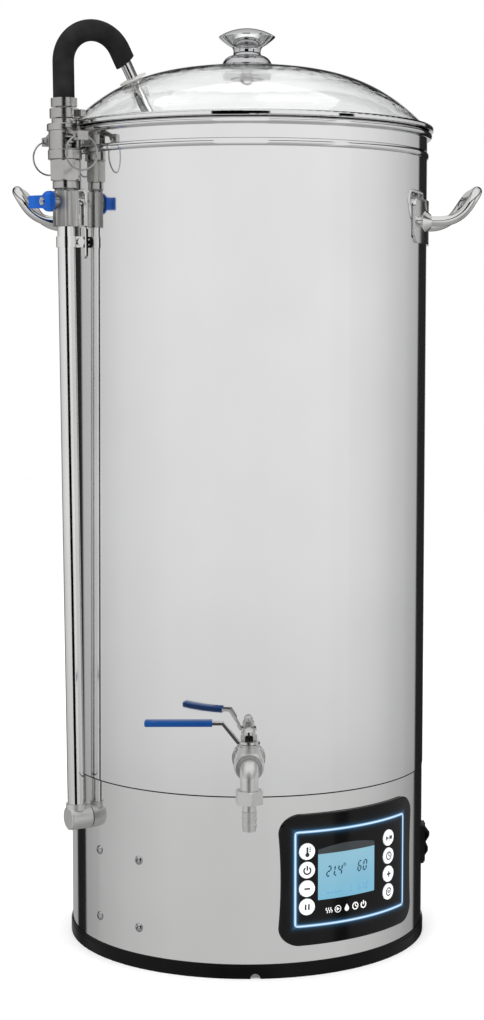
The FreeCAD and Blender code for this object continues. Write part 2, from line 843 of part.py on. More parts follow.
def riser_valve_handle():
    """A butterfly handle: a round hub with two flared wings."""
    middle = valve_stem_height
    hub = turned((0, 0), (9.4, 0), (9.4, 3.0), ((7.9, 6.4), (4.6, 8.2)), (0, 8.2))
    hub.rotate(ORIGIN, ALONG_X, 90)
    hub.translate(Vector(0, -14.1, middle))
    body = hub
    for side in (-1, 1):
        wing = Part.makePolygon([
            Vector(side * 5.0, -14.6, 0),
            Vector(side * 8.5, -14.6, 0),
            Vector(side * 14.0, -22.0, 0),
            Vector(side * 21.5, -25.2, 0),
            Vector(side * 20.4, -27.9, 0),
            Vector(side * 12.2, -24.4, 0),
            Vector(side * 7.0, -18.4, 0),
            Vector(side * 5.0, -18.4, 0),
            Vector(side * 5.0, -14.6, 0),
        ])
        solid = Part.Face(wing).extrude(Vector(0, 0, 11.6))
        if solid.Volume < 0:
            solid.reverse()
        solid.translate(Vector(0, 0, middle - 5.8))
        tip = [
            edge for edge in solid.Edges
            if edge.Length < 5 and abs(abs(edge.CenterOfMass.x) - 20.95) < 0.1
        ]
        solid = solid.makeFillet(1.2, tip)
        body = body.fuse(solid)
    bore = rod(2.6, Vector(0, -10, middle), Vector(0, -30, middle))
    seat = rod(3.8, Vector(0, -22.45, middle), Vector(0, -30, middle))
    return on_riser(body.cut(bore).cut(seat))


def camlock_adapter():
    """The male half of the quick coupling: collar, hexagon and a grooved nose."""
    nose = turned(
        (5.5, collar_bottom),
        (11.0, collar_bottom),
        (11.6, collar_bottom + 0.6),
        (11.6, hex_bottom - 1.2),
        (11.0, hex_bottom - 0.6),
        (11.0, coupler_bottom + 3),
        (11.0, coupler_bottom + 10),
        ((9.4, coupler_bottom + 12.4), (11.0, coupler_bottom + 14.8)),
        (11.0, coupler_bottom + 16.4),
        (10.2, coupler_bottom + 17.4),
        (5.5, coupler_bottom + 17.4),
    )
    grip = nut(25.2, hex_bottom, coupler_bottom - 0.4, turn=0)
    body = nose.fuse(grip).cut(disc(5.5, collar_bottom - 5, coupler_top))
    return on_riser(body)


def camlock_coupler():
    """The female half, with a window and a pair of ears on each side for the cam levers."""
    body = turned(
        (0, coupler_bottom),
        (15.0, coupler_bottom),
        (15.4, coupler_bottom + 0.6),
        (15.4, coupler_bottom + 8.2),
        (14.6, coupler_bottom + 9.0),
        (14.6, coupler_top - 6.4),
        (16.0, coupler_top - 6.0),
        (16.0, coupler_top - 0.8),
        (15.4, coupler_top),
        (11.6, coupler_top),
        (11.6, coupler_top + 4.2),
        (6.6, coupler_top + 4.2),
        (hose_bore - 0.05, coupler_top + 4.6),
        (hose_bore - 0.05, foam_start + 4),
        (0, foam_start + 4),
    )
    body = body.cut(disc(11.6, coupler_bottom - 5, coupler_top - 12.2))
    body = body.cut(disc(3.6, coupler_bottom - 5, foam_start + 20))
    for side in (-1, 1):
        near = 8.4 * side
        far = 20 * side
        body = body.cut(block(
            min(near, far), max(near, far), -5.6, 5.6, coupler_bottom + 9.5, coupler_top + 0.1
        ))
        pin = Vector(side * lever_pivot_radius, 0, lever_pivot_height)
        body = body.fuse(rod(1.5, pin - ALONG_Y * 8.2, pin + ALONG_Y * 8.2))
    rim_flat = block(-30, 30, coupler_flat, 30, coupler_bottom + 12, coupler_top + 0.4)
    return on_riser(body.cut(rim_flat))


def camlock_lever(side):
    """A cam lever: a hub on its pin, a sloping arm and an upright eye for the pull ring."""
    px = lever_pivot_radius
    pz = lever_pivot_height
    hub = rod(3.6, Vector(px, -5.0, pz), Vector(px, 5.0, pz))
    ex = ring_hang_radius
    ez = ring_hang_height
    arm = outline(
        (px, pz + 3.4),
        (px + 6, pz + 2.6),
        (ex - 4.6, ez + 4.0),
        (ex + 4.0, ez + 4.0),
        (ex + 4.0, ez - 4.0),
        (ex - 4.0, ez - 4.0),
        (ex - 7.0, ez + 1.6),
        (px + 6, pz - 1.8),
        (px + 2, pz - 3.0),
    )
    body = hub.fuse(slab(arm, -5.0, 5.0))
    body = body.cut(rod(1.58, Vector(px, -9, pz), Vector(px, 9, pz)))
    body = body.cut(rod(pull_ring_wire + 1.0, Vector(ex, -9, ez), Vector(ex, 9, ez)))
    if side < 0:
        body = body.mirror(ORIGIN, ALONG_X)
    return on_riser(body)


def pull_ring(side):
    """A wire ring that hangs from a cam lever's eye."""
    drop = pull_ring_radius - ring_hang_lift
    centre = Vector(side * ring_hang_radius, 0, ring_hang_height - drop)
    return on_riser(Part.makeTorus(pull_ring_radius, pull_ring_wire, centre, ALONG_X))


# ---- return hose and lid -----------------------------------------------------------------
def return_route():
    """The hose's centre line on the riser's axis: up, over the arch and down to the lid."""
    slope = math.radians(return_tube_tilt)
    down = Vector(0, math.sin(slope), -math.cos(slope))
    turn = math.pi - slope
    arch_end = Vector(
        0,
        arch_radius - arch_radius * math.cos(turn),
        arch_height + arch_radius * math.sin(turn),
    )
    top = arch_height + arch_radius
    side = Vector(0, 0, top)
    over = Vector(0, arch_radius * (1 + math.tan((turn - math.pi / 2) / 2)), top)
    return side, over, arch_end, down


def hose_points(start, tail):
    """The corners of the hose's route, from a height to a length past the arch's end."""
    side, over, arch_end, down = return_route()
    return [Vector(0, 0, start), side, over, arch_end + down * tail]


def hose_clamps():
    """The two round clamps that hold the hose on the coupler's tail."""
    upper = disc(12.0, coupler_top + 15.3, foam_start - 0.3)
    upper = upper.cut(disc(hose_radius, 700, 900))
    lower = disc(13.3, coupler_top + 5.2, coupler_top + 13.6)
    tensioner = block(9.5, 18.6, 2.5, 9.0, coupler_top + 6.2, coupler_top + 12.2)
    tensioner.rotate(ORIGIN, UP, 22)
    lower = lower.fuse(tensioner).cut(disc(hose_radius, 700, 900))
    return on_riser(Part.makeCompound([upper, lower]))


def return_hose():
    """The silicone inner hose, from the coupler's tail to the steel return tube."""
    points = hose_points(coupler_top + 4.7, foam_tail - 1.0)
    return on_riser(bent_tube(points, arch_radius, hose_radius, hose_bore))


def hose_insulation():
    """The foam sleeve over the hose, cut off at a slant above the lid."""
    foam = bent_tube(hose_points(foam_start, foam_tail + 6.0), arch_radius, foam_radius, hose_radius)
    _, _, arch_end, down = return_route()
    end = arch_end + down * foam_tail
    waste = block(-20, 20, -40, 40, -30, 0)
    waste.rotate(ORIGIN, ALONG_X, return_tube_tilt + foam_end_slant)
    waste.translate(end)
    return on_riser(foam.cut(waste))


def return_tube_line():
    """The steel tube's two ends in the part's frame."""
    _, _, arch_end, down = return_route()
    top = riser_place(*(arch_end + down * 1.0))
    way = riser_direction(*down).normalize()
    bottom = top + way * ((top.z - return_tube_bottom) / -way.z)
    return top, bottom


def return_tube():
    top, bottom = return_tube_line()
    way = (bottom - top).normalize()
    tube = rod(hose_bore - 0.02, top, bottom)
    return tube.cut(rod(hose_bore - 1.0, top - way * 5, bottom + way * 5))


def grommet_middle():
    """Where the return tube passes through the middle of the glass."""
    top, bottom = return_tube_line()
    low = 0.0
    high = 1.0
    for _ in range(40):
        share = (low + high) / 2
        spot = top + (bottom - top) * share
        glass_middle = dome_height(math.hypot(spot.x, spot.y)) - glass_thickness / 2
        if spot.z > glass_middle:
            low = share
        else:
            high = share
    return top + (bottom - top) * low


def lid_grommet():
    """A flanged bush that seals the return tube in the glass."""
    top, bottom = return_tube_line()
    way = (bottom - top).normalize()
    middle = grommet_middle()
    body = rod(7.6, middle - way * 4.0, middle + way * 4.0)
    body = body.fuse(rod(13.0, middle - way * 4.4, middle - way * 3.2))
    body = body.fuse(rod(12.0, middle + way * 3.0, middle + way * 4.2))
    return body.cut(rod(hose_bore, middle - way * 20, middle + way * 20))


def lid_glass():
    steps = 9
    outer = []
    inner = []
    for k in range(steps):
        radius = glass_radius * k / (steps - 1)
        outer.append(Vector(radius, 0, dome_height(radius)))
        inner.append(Vector(radius, 0, dome_height(radius) - glass_thickness))
    top = Part.BSplineCurve()
    top.interpolate(outer)
    under = Part.BSplineCurve()
    under.interpolate(inner)
    wire = Part.Wire([
        top.toShape(),
        Part.LineSegment(outer[-1], inner[-1]).toShape(),
        under.toShape(),
        Part.LineSegment(inner[0], outer[0]).toShape(),
    ])
    glass = Part.Face(wire).revolve(ORIGIN, UP, 360)
    tube_top, tube_bottom = return_tube_line()
    way = (tube_bottom - tube_top).normalize()
    middle = grommet_middle()
    glass = glass.cut(rod(7.7, middle - way * 15, middle + way * 15))
    glass = glass.cut(disc(3.1, dome_apex - 20, dome_apex + 20))
    return glass.common(disc(200, lid_rim_bottom + 1.3, dome_apex + 5))


def lid_rim():
    """A rolled steel channel round the glass, with a skirt that centres it in the kettle."""
    sheet = 0.8
    outside = lid_rim_radius
    inside = glass_radius + 0.6
    bottom = lid_rim_bottom
    top = lid_rim_top
    return turned(
        (skirt_radius - sheet, skirt_bottom),
        (skirt_radius, skirt_bottom),
        (skirt_radius, bottom),
        (outside - 1.2, bottom),
        ((outside - 0.35, bottom + 0.35), (outside, bottom + 1.2)),
        (outside, top - 1.8),
        ((outside - 0.53, top - 0.53), (outside - 1.8, top)),
        (inside + 1.0, top),
        ((inside + 0.3, top - 0.3), (inside, top - 1.0)),
        (inside, bottom + 2.2),
        (inside + sheet, bottom + 2.2),
        (inside + sheet, top - 1.2),
        (outside - 1.8, top - sheet),
        (outside - sheet, top - 1.8),
        (outside - sheet, bottom + 1.2),
        (outside - 1.2, bottom + sheet),
        (skirt_radius - sheet, bottom + sheet),
    )


def lid_knob():
    """A mushroom knob: a sharp-edged crowned cap, a drawn-in neck and a domed foot."""
    foot = dome_apex + 4.2
    edge = foot + 26.4
    width = 26.8
    rise = 7.6
    sphere = (width**2 + rise**2) / (2 * rise)
    halfway = edge + rise - sphere + math.sqrt(sphere**2 - (width / 2) ** 2)
    body = turned(
        (0, foot),
        (23.8, foot),
        ((20.6, foot + 5.4), (13.6, foot + 8.8)),
        ((13.0, foot + 12.4), (14.6, foot + 16.6)),
        ((20.6, foot + 20.4), (width, edge - 0.8)),
        (width, edge),
        ((width / 2, halfway), (0, edge + rise)),
    )
    return body.cut(disc(3.0, foot - 5, foot + 14))


def knob_screw():
    """The knob's screw from below, its washer under the glass and the spacer above it."""
    foot = dome_apex + 4.2
    under = dome_apex - glass_thickness
    spacer = disc(22.5, dome_height(22.5) + 0.4, foot).cut(disc(3.05, 800, 850))
    spacer = spacer.cut(disc(20.5, 800, dome_apex + 0.05))
    washer = disc(16, under - 1.6, under - 0.1).cut(disc(3.05, 800, 850))
    screw = disc(3.0, under - 3, foot + 13.6)
    head = Part.makeSphere(9, Vector(0, 0, under + 2.6)).common(disc(7.2, under - 6.4, under - 1.6))
    slot = block(-9, 9, -0.8, 0.8, under - 8, under - 5.2)
    return Part.makeCompound([spacer, washer, screw.fuse(head).cut(slot)])


# ---- side handles ------------------------------------------------------------------------
def side_handle():
    """A long curved foot plate with two raised bosses and a cranked round bar."""
    bend = math.radians(handle_bend_angle)
    rise = Vector(0, -math.cos(bend), math.sin(bend))
    reach = handle_bend_radius * math.tan(bend / 2)
    knee = Vector(0, -(handle_bend_start + reach), handle_height)
    crossbar = knee + rise * (reach + handle_rise)
    across = Vector(handle_leg_spread, 0, 0)
    root = Vector(0, -165, handle_height)
    leg = [root, knee, crossbar]
    left = bent_bar([point - across for point in leg], handle_bend_radius, handle_bar_radius)
    right = bent_bar([point + across for point in leg], handle_bend_radius, handle_bar_radius)
    corner = 14.0
    cut_back = rise * corner
    top_bar = bent_bar(
        [
            crossbar - across - cut_back,
            crossbar - across,
            crossbar + across,
            crossbar + across - cut_back,
        ],
        corner - 0.01,
        handle_bar_radius,
    )
    legs = left.fuse(right)
    legs = legs.cut(end_trim(crossbar - cut_back, rise))
    bar = legs.fuse(top_bar)
    half_plate = 80.0
    frame = rounded_frame(-half_plate, half_plate, handle_height - 21, handle_height + 20, 8)
    plate = curved_plate(frame, kettle_radius + 2.0, kettle_radius)
    body = plate.fuse(bar)
    for side in (-1, 1):
        foot = math.sqrt(kettle_radius**2 - handle_leg_spread**2)
        boss = Part.makeCone(14.0, 6.4, 9.0, Vector(0, 0, 0), UP)
        boss = laid_outward(boss, foot - 2.5, handle_height)
        boss.translate(Vector(side * handle_leg_spread, 0, 0))
        body = body.fuse(boss)
    return body.cut(disc(kettle_radius, 600, 800))


def end_trim(place, way):
    """A half space, as a large block, that takes everything past a plane."""
    box = Part.makeBox(400, 100, 100, Vector(-200, -50, 0))
    box.Placement = FreeCAD.Placement(place, FreeCAD.Rotation(UP, way)).multiply(box.Placement)
    return box


def side_handles():
    right = at_azimuth(side_handle(), 90)
    left = at_azimuth(side_handle(), -90)
    return Part.makeCompound([right, left])


# ---- malt pipe ---------------------------------------------------------------------------
def malt_pipe():
    """The inner grain cylinder, with an inner ledge for its sieve and three short legs."""
    outside = malt_radius
    inside = malt_radius - malt_wall
    body = turned(
        (inside - 6, malt_bottom),
        (outside, malt_bottom),
        (outside, malt_top - 6),
        ((outside + 4, malt_top - 3), (outside, malt_top)),
        (inside, malt_top),
        (inside, malt_bottom + 1.5),
        (inside - 6, malt_bottom + 1.5),
    )
    for k in range(3):
        foot = floor_height + floor_thickness + 0.4
        leg = block(-12, 12, -outside + 0.2, -inside + 3, foot, malt_bottom + 1)
        body = body.fuse(at_azimuth(leg, 120 * k + 60))
    for k in range(12):
        overflow = outward(5, 140, 165, z=malt_top - 40)
        body = body.cut(at_azimuth(overflow, 30 * k))
    return body


def sieve(radius, bottom, middle_hole):
    """A perforated disc with rings of round holes."""
    plate = disc(radius, bottom, bottom + 1.2).cut(disc(middle_hole, bottom - 5, bottom + 5))
    for ring_number in range(2, 7):
        distance = 22.0 * ring_number
        count = 6 * ring_number
        for k in range(count):
            angle = 2 * math.pi * k / count
            x = distance * math.cos(angle)
            y = distance * math.sin(angle)
            plate = plate.cut(disc(3.5, bottom - 2, bottom + 4, x, y))
    return plate


def malt_sieves():
    bottom = sieve(malt_radius - malt_wall - 0.6, malt_bottom + 1.6, 11.0)
    top = sieve(malt_radius - malt_wall - 1.2, 640.0, 13.0)
    return Part.makeCompound([bottom, top])


def overflow_pipe():
    """The centre pipe that lets wort return when the grain bed is full."""
    bottom = malt_bottom + 2.9
    pipe = disc(12.2, bottom, 700).fuse(disc(20, bottom, bottom + 2))
    pipe = pipe.fuse(disc(10.9, malt_bottom - 6, bottom))
    return pipe.cut(disc(9.8, malt_bottom - 10, 710))


# ---- export ------------------------------------------------------------------------------
def pieces():
    made = {
        "base_ring": base_ring(),
        "base_plate": base_plate(),
        "base_shell": base_shell(),
        "seam_gasket": seam_gasket(),
        "kettle": kettle(),
        "heating_plate": heating_plate(),
        "floor_sensors": floor_sensors(),
        "pump_motor": pump_motor(),
        "pump_head": pump_head(),
        "pump_screws": pump_screws(),
        "pump_hoses": pump_hoses(),
        "control_housing": control_housing(),
        "control_board": control_board(),
        "panel_bezel": panel_bezel(),
        "light_frame": light_frame(),
        "lcd": lcd(),
        "switch_bezel": switch_bezel(),
        "switch_rocker": switch_rocker(),
        "mains_gland": mains_gland(),
        "tap_locknut": tap_locknut(),
        "tap_body": tap_body(),
        "tap_ball": tap_ball(),
        "tap_lever": tap_lever(),
        "tap_lever_sleeve": tap_lever_sleeve(),
        "tap_stem_nut": tap_stem_nut(),
        "tap_spout": tap_spout(),
        "tap_hose_tail": tap_hose_tail(),
        "riser_stub": riser_stub(),
        "riser_pipe": riser_pipe(),
        "riser_clamp": riser_clamp(),
        "riser_valve_body": riser_valve_body(),
        "riser_valve_ball": riser_valve_ball(),
        "riser_valve_handle": riser_valve_handle(),
        "camlock_adapter": camlock_adapter(),
        "camlock_coupler": camlock_coupler(),
        "camlock_lever_front": camlock_lever(1),
        "camlock_lever_back": camlock_lever(-1),
        "pull_ring_front": pull_ring(1),
        "pull_ring_back": pull_ring(-1),
        "hose_clamps": hose_clamps(),
        "return_hose": return_hose(),
        "hose_insulation": hose_insulation(),
        "return_tube": return_tube(),
        "lid_grommet": lid_grommet(),
        "lid_glass": lid_glass(),
        "lid_rim": lid_rim(),
        "lid_knob": lid_knob(),
        "knob_screw": knob_screw(),
        "side_handles": side_handles(),
        "malt_pipe": malt_pipe(),
        "malt_sieves": malt_sieves(),
        "overflow_pipe": overflow_pipe(),
    }
    for name, height in zip(LEFT_BUTTONS, button_rows):
        made[name] = button(left_buttons_azimuth, height)
    for name, height in zip(RIGHT_BUTTONS, button_rows):
        made[name] = button(right_buttons_azimuth, height)
    return made


def main():
    os.makedirs("parts", exist_ok=True)
    for name, shape in pieces().items():
        shape.exportStep("parts/" + name + ".step")
        state = "valid" if shape.isValid() else "NOT VALID"
        print(name, state, len(shape.Solids), "solids", round(shape.Volume, 1), "mm3")


if __name__ == "__main__":
    main()
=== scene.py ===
import json
import math

import bpy
from mathutils import Matrix, Vector


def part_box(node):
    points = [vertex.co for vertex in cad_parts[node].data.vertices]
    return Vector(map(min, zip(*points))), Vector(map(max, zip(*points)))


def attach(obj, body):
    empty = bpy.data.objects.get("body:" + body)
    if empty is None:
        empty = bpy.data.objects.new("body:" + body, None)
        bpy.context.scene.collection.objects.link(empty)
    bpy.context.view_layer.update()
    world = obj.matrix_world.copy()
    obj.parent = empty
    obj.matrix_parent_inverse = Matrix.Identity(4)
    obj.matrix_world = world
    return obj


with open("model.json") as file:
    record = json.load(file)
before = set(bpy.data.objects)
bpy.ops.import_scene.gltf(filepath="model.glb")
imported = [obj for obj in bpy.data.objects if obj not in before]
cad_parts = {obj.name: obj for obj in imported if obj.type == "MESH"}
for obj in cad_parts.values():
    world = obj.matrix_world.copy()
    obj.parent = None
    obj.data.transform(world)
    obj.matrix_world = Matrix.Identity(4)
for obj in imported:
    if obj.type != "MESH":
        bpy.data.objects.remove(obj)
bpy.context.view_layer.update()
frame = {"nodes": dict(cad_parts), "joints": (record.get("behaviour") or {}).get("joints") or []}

NODES = frame["nodes"]
JOINTS = {joint["name"]: joint for joint in frame["joints"]}
MM = 0.001

# ---- places, in metres and radians from the front ----------------------------------------
SHELL_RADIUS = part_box("base_shell")[1].x
KETTLE_RADIUS = 0.1715
PANEL_RADIUS = 0.174
PANEL_AZIMUTH = math.radians(35.75)
DISPLAY_AZIMUTH = math.radians(21.2)
DISPLAY_RADIUS = PANEL_RADIUS - 0.1 * MM
DISPLAY_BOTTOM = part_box("lcd")[0].z
DISPLAY_LIT_TOP = 0.1118
FRAME_LOW, FRAME_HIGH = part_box("light_frame")
FRAME_START = math.radians(13.95)
FRAME_END = math.radians(56.25)
PANEL_MARKS_HEIGHT = 0.0592


# ---- camera ------------------------------------------------------------------------------
def add_camera():
    """The photograph's view: almost from the front, level with the kettle's upper half."""
    distance = 1.931
    azimuth = math.radians(-0.5)
    height = 0.5805
    pitch = math.radians(5.06)
    camera = bpy.data.cameras.new("camera")
    camera.lens = 70.55
    camera.shift_x = -0.0049
    camera.clip_start = 0.05
    camera.clip_end = 60
    body = bpy.data.objects.new("camera", camera)
    body.location = (distance * math.sin(azimuth), -distance * math.cos(azimuth), height)
    body.rotation_euler = (math.pi / 2 - pitch, 0, azimuth)
    bpy.context.scene.collection.objects.link(body)
    bpy.context.scene.camera = body


# ---- node helpers ------------------------------------------------------------------------
def srgb(red, green, blue):
    """A colour on the 0 to 255 scale as linear light."""
    linear = []
    for value in (red, green, blue):
        value = value / 255
        linear.append(value / 12.92 if value <= 0.04045 else ((value + 0.055) / 1.055) ** 2.4)
    return (*linear, 1.0)


class Nodes:
    """Short calls for building one tree of nodes."""

    def __init__(self, tree):
        self.tree = tree

    def node(self, kind, inputs=None, **settings):
        made = self.tree.nodes.new(kind)
        for key, value in settings.items():
            setattr(made, key, value)
        for key, value in (inputs or {}).items():
            self.feed(made.inputs[key], value)
        return made

    def feed(self, socket, value):
        if isinstance(value, bpy.types.NodeSocket):
            self.tree.links.new(value, socket)
        else:
            socket.default_value = value

    def maths(self, operation, first, second=0.0, clamp=False):
        made = self.node("ShaderNodeMath", operation=operation, use_clamp=clamp)
        self.feed(made.inputs[0], first)
        self.feed(made.inputs[1], second)
        return made.outputs[0]

    def spread(self, value, low, high, start=0.3, end=0.7):
        """A value between start and end as one between low and high."""
        ends = {"From Min": start, "From Max": end, "To Min": low, "To Max": high}
        return self.node("ShaderNodeMapRange", {"Value": value, **ends}).outputs["Result"]

    def blend(self, factor, first, second):
        mix = self.node("ShaderNodeMix", data_type="RGBA")
        self.feed(mix.inputs["Factor"], factor)
        self.feed(mix.inputs[6], first)
        self.feed(mix.inputs[7], second)
        return mix.outputs[2]

    def curve(self, value, points):
        """The brightness at a value, on straight lines through (value, brightness) points."""
        low = points[0][0]
        high = points[-1][0]
        ramp = self.node("ShaderNodeValToRGB", {"Fac": self.spread(value, 0.0, 1.0, low, high)})
        elements = ramp.color_ramp.elements
        elements[0].color = (points[0][1],) * 3 + (1,)
        elements[1].color = (points[-1][1],) * 3 + (1,)
        for spot, brightness in points[1:-1]:
            elements.new((spot - low) / (high - low)).color = (brightness,) * 3 + (1,)
        return ramp.outputs["Color"]

    def azimuth(self, vector):
        """The azimuth of a point or direction, in radians from the front towards +X."""
        parts = self.node("ShaderNodeSeparateXYZ", {"Vector": vector}).outputs
        return self.maths("ARCTAN2", parts["X"], self.maths("MULTIPLY", parts["Y"], -1.0))

    def height(self, vector):
        return self.node("ShaderNodeSeparateXYZ", {"Vector": vector}).outputs["Z"]


class Maker(Nodes):
    """The nodes of one material, drawn in the object's own coordinates."""

    def __init__(self, name):
        self.material = bpy.data.materials.new(name)
        self.material.use_nodes = True
        super().__init__(self.material.node_tree)
        self.shader = self.tree.nodes["Principled BSDF"]
        self.coordinates = self.node("ShaderNodeTexCoord").outputs["Object"]

    def set(self, **values):
        for key, value in values.items():
            self.feed(self.shader.inputs[key.replace("_", " ")], value)

    def stretched(self, x, y, z):
        """Object coordinates with each axis scaled."""
        mapping = self.node("ShaderNodeMapping", {"Vector": self.coordinates})
        mapping.inputs["Scale"].default_value = (x, y, z)
        return mapping.outputs["Vector"]

    def noise(self, vector, scale, detail=3.0, roughness=0.5):
        inputs = {"Vector": vector, "Scale": scale, "Detail": detail, "Roughness": roughness}
        return self.node("ShaderNodeTexNoise", inputs).outputs["Fac"]

    def mottle(self, noise, dark, light):
        """A colour that drifts between two others with a noise."""
        return self.blend(self.spread(noise, 0.0, 1.0), dark, light)

    def bump(self, height, distance, strength=1.0):
        inputs = {"Height": height, "Distance": distance, "Strength": strength}
        self.set(Normal=self.node("ShaderNodeBump", inputs).outputs["Normal"])


# ---- materials ---------------------------------------------------------------------------
def metal(name, dark, light, rough, grain=(1, 1, 1), grain_scale=400.0, depth=0.00002):
    """Metal whose colour, gloss and fine surface grain all vary a little."""
    make = Maker(name)
    patches = make.noise(make.coordinates, 9.0, 4.0)
    make.set(Metallic=1.0, Base_Color=make.mottle(patches, dark, light))
    smudges = make.noise(make.stretched(1, 1, 0.6), 28.0, 5.0, 0.6)
    make.set(Roughness=make.spread(smudges, rough[0], rough[1]))
    fine = make.noise(make.stretched(*grain), grain_scale, 2.0)
    make.bump(fine, depth, 0.6)
    return make.material


def polished_wall():
    """The kettle's mirror-polished sheet, with very faint lines that run round it."""
    return metal(
        "polished_wall", (0.82, 0.82, 0.825, 1), (0.86, 0.86, 0.865, 1), (0.05, 0.08),
        grain=(0.05, 0.05, 1), grain_scale=900.0, depth=0.000002,
    )


def shell_sheet():
    """The base shell's sheet, polished like the kettle."""
    return metal(
        "shell_sheet", (0.80, 0.80, 0.795, 1), (0.84, 0.84, 0.835, 1), (0.07, 0.10),
        grain=(0.05, 0.05, 1), grain_scale=900.0, depth=0.000003,
    )


def bright_fitting():
    return metal(
        "bright_fitting", (0.78, 0.78, 0.77, 1), (0.84, 0.84, 0.83, 1), (0.09, 0.15),
        grain_scale=700.0, depth=0.000006,
    )


def knob_chrome():
    """The knob's plating, darker and sharper than the sheet."""
    return metal(
        "knob_chrome", (0.62, 0.62, 0.63, 1), (0.72, 0.72, 0.73, 1), (0.05, 0.09),
        grain_scale=700.0, depth=0.000004,
    )


def turned_fitting():
    """Machined stainless with fine tool marks round it."""
    return metal(
        "turned_fitting", (0.60, 0.60, 0.59, 1), (0.72, 0.72, 0.71, 1), (0.12, 0.22),
        grain=(0.2, 0.2, 1), grain_scale=1400.0, depth=0.00002,
    )


def satin_casting():
    """The tap's and riser's castings, tumbled to an even satin."""
    return metal(
        "satin_casting", (0.74, 0.74, 0.73, 1), (0.86, 0.86, 0.85, 1), (0.40, 0.52),
        grain_scale=1400.0, depth=0.00004,
    )


def cast_fitting():
    """Investment-cast stainless, blasted to a soft grey."""
    return metal(
        "cast_fitting", (0.34, 0.335, 0.32, 1), (0.60, 0.595, 0.58, 1), (0.16, 0.28),
        grain_scale=1600.0, depth=0.00006,
    )


def ground_casting():
    """The riser valve's body, ground along its length: the grind leaves upright streaks in its
    gloss and bump, and its colour holds painted reflection streaks, dark and light.
    """
    make = Maker("ground_casting")
    grain_and_reflection_streaks = make.noise(make.stretched(1, 1, 0.03), 190.0, 3.0, 0.6)
    # Painted reflection: the colour swings from dark to light along the streaks, standing in for
    # dark upright streaks reflected in the metal.
    painted_reflection_tone = make.spread(grain_and_reflection_streaks, 0.0, 1.0, 0.35, 0.65)
    streak_and_reflection_colour = make.blend(painted_reflection_tone, (0.24, 0.235, 0.225, 1), (0.66, 0.655, 0.64, 1))
    make.set(Metallic=1.0, Base_Color=streak_and_reflection_colour)
    make.set(Roughness=make.spread(grain_and_reflection_streaks, 0.34, 0.20))
    make.bump(grain_and_reflection_streaks, 0.00006, 0.5)
    return make.material


def screw_metal():
    return metal(
        "screw_metal", (0.46, 0.46, 0.46, 1), (0.60, 0.60, 0.60, 1), (0.16, 0.26),
        grain_scale=900.0, depth=0.00001,
    )


def inner_sheet():
    """Satin stainless sheet: the malt pipe, the sieves and the tap's lever."""
    return metal(
        "inner_sheet", (0.68, 0.68, 0.67, 1), (0.72, 0.72, 0.71, 1), (0.27, 0.30),
        grain=(1, 1, 0.05), grain_scale=600.0, depth=0.00001,
    )


def aluminium_sheet():
    return metal(
        "aluminium_sheet", (0.60, 0.60, 0.61, 1), (0.70, 0.70, 0.71, 1), (0.35, 0.5),
        grain_scale=300.0, depth=0.00003,
    )


def moulded(name, dark, light, rough, grain_scale=900.0, depth=0.00004, coat=0.0, shine=0.5):
    """Moulded plastic or rubber with a fine spark-eroded grain."""
    make = Maker(name)
    patches = make.noise(make.coordinates, 14.0, 4.0)
    make.set(Base_Color=make.mottle(patches, dark, light))
    worn = make.noise(make.coordinates, 45.0, 4.0)
    make.set(Roughness=make.spread(worn, rough[0], rough[1]))
    make.set(Coat_Weight=coat, Coat_Roughness=0.05, Specular_IOR_Level=shine)
    make.bump(make.noise(make.coordinates, grain_scale, 2.0), depth, 0.5)
    return make.material


def black_ring():
    return moulded("black_ring", srgb(8, 8, 8), srgb(16, 16, 16), (0.25, 0.35), shine=0.10)


def black_moulding():
    return moulded("black_moulding", srgb(12, 12, 13), srgb(22, 22, 23), (0.3, 0.42), shine=0.22)


def black_rubber():
    return moulded("black_rubber", srgb(14, 14, 14), srgb(26, 26, 26), (0.6, 0.75), shine=0.2)


def blue_dip():
    """The glossy blue vinyl sleeve on the tap's lever."""
    return moulded(
        "blue_dip", srgb(0, 52, 112), srgb(4, 72, 136), (0.24, 0.36),
        grain_scale=500.0, depth=0.00005, coat=0.1, shine=0.25,
    )


def blue_coating():
    """The brighter blue coating on the butterfly handle."""
    return moulded(
        "blue_coating", srgb(0, 70, 158), srgb(6, 92, 184), (0.24, 0.36),
        grain_scale=500.0, depth=0.00005, coat=0.1, shine=0.25,
    )


def silicone():
    return moulded("silicone", (0.52, 0.51, 0.48, 1), (0.62, 0.61, 0.58, 1), (0.35, 0.45))


def board_green():
    return moulded("board_green", (0.01, 0.08, 0.03, 1), (0.02, 0.12, 0.05, 1), (0.4, 0.5))


def motor_paint():
    return moulded("motor_paint", (0.01, 0.01, 0.011, 1), (0.02, 0.02, 0.022, 1), (0.35, 0.45))


def foam():
    """Closed-cell foam: nearly black, with soft pores and a faint lighter bloom."""
    make = Maker("foam")
    bloom = make.noise(make.coordinates, 60.0, 5.0, 0.6)
    make.set(Base_Color=make.mottle(bloom, srgb(24, 24, 25), srgb(40, 40, 41)))
    make.set(Roughness=make.spread(bloom, 0.72, 0.88))
    make.set(Specular_IOR_Level=0.12)
    inputs = {"Vector": make.coordinates, "Scale": 1100.0}
    pores = make.node("ShaderNodeTexVoronoi", inputs).outputs["Distance"]
    make.bump(pores, 0.00015, 0.7)
    return make.material


def clear_glass():
    """Tempered glass with a faint green tint and a trace of film on it."""
    make = Maker("clear_glass")
    film = make.noise(make.coordinates, 18.0, 4.0)
    make.set(
        Base_Color=make.mottle(film, (0.955, 0.965, 0.962, 1), (0.975, 0.98, 0.978, 1)),
        Roughness=make.spread(film, 0.0, 0.012),
        Transmission_Weight=1.0,
        IOR=1.45,
    )
    return make.material


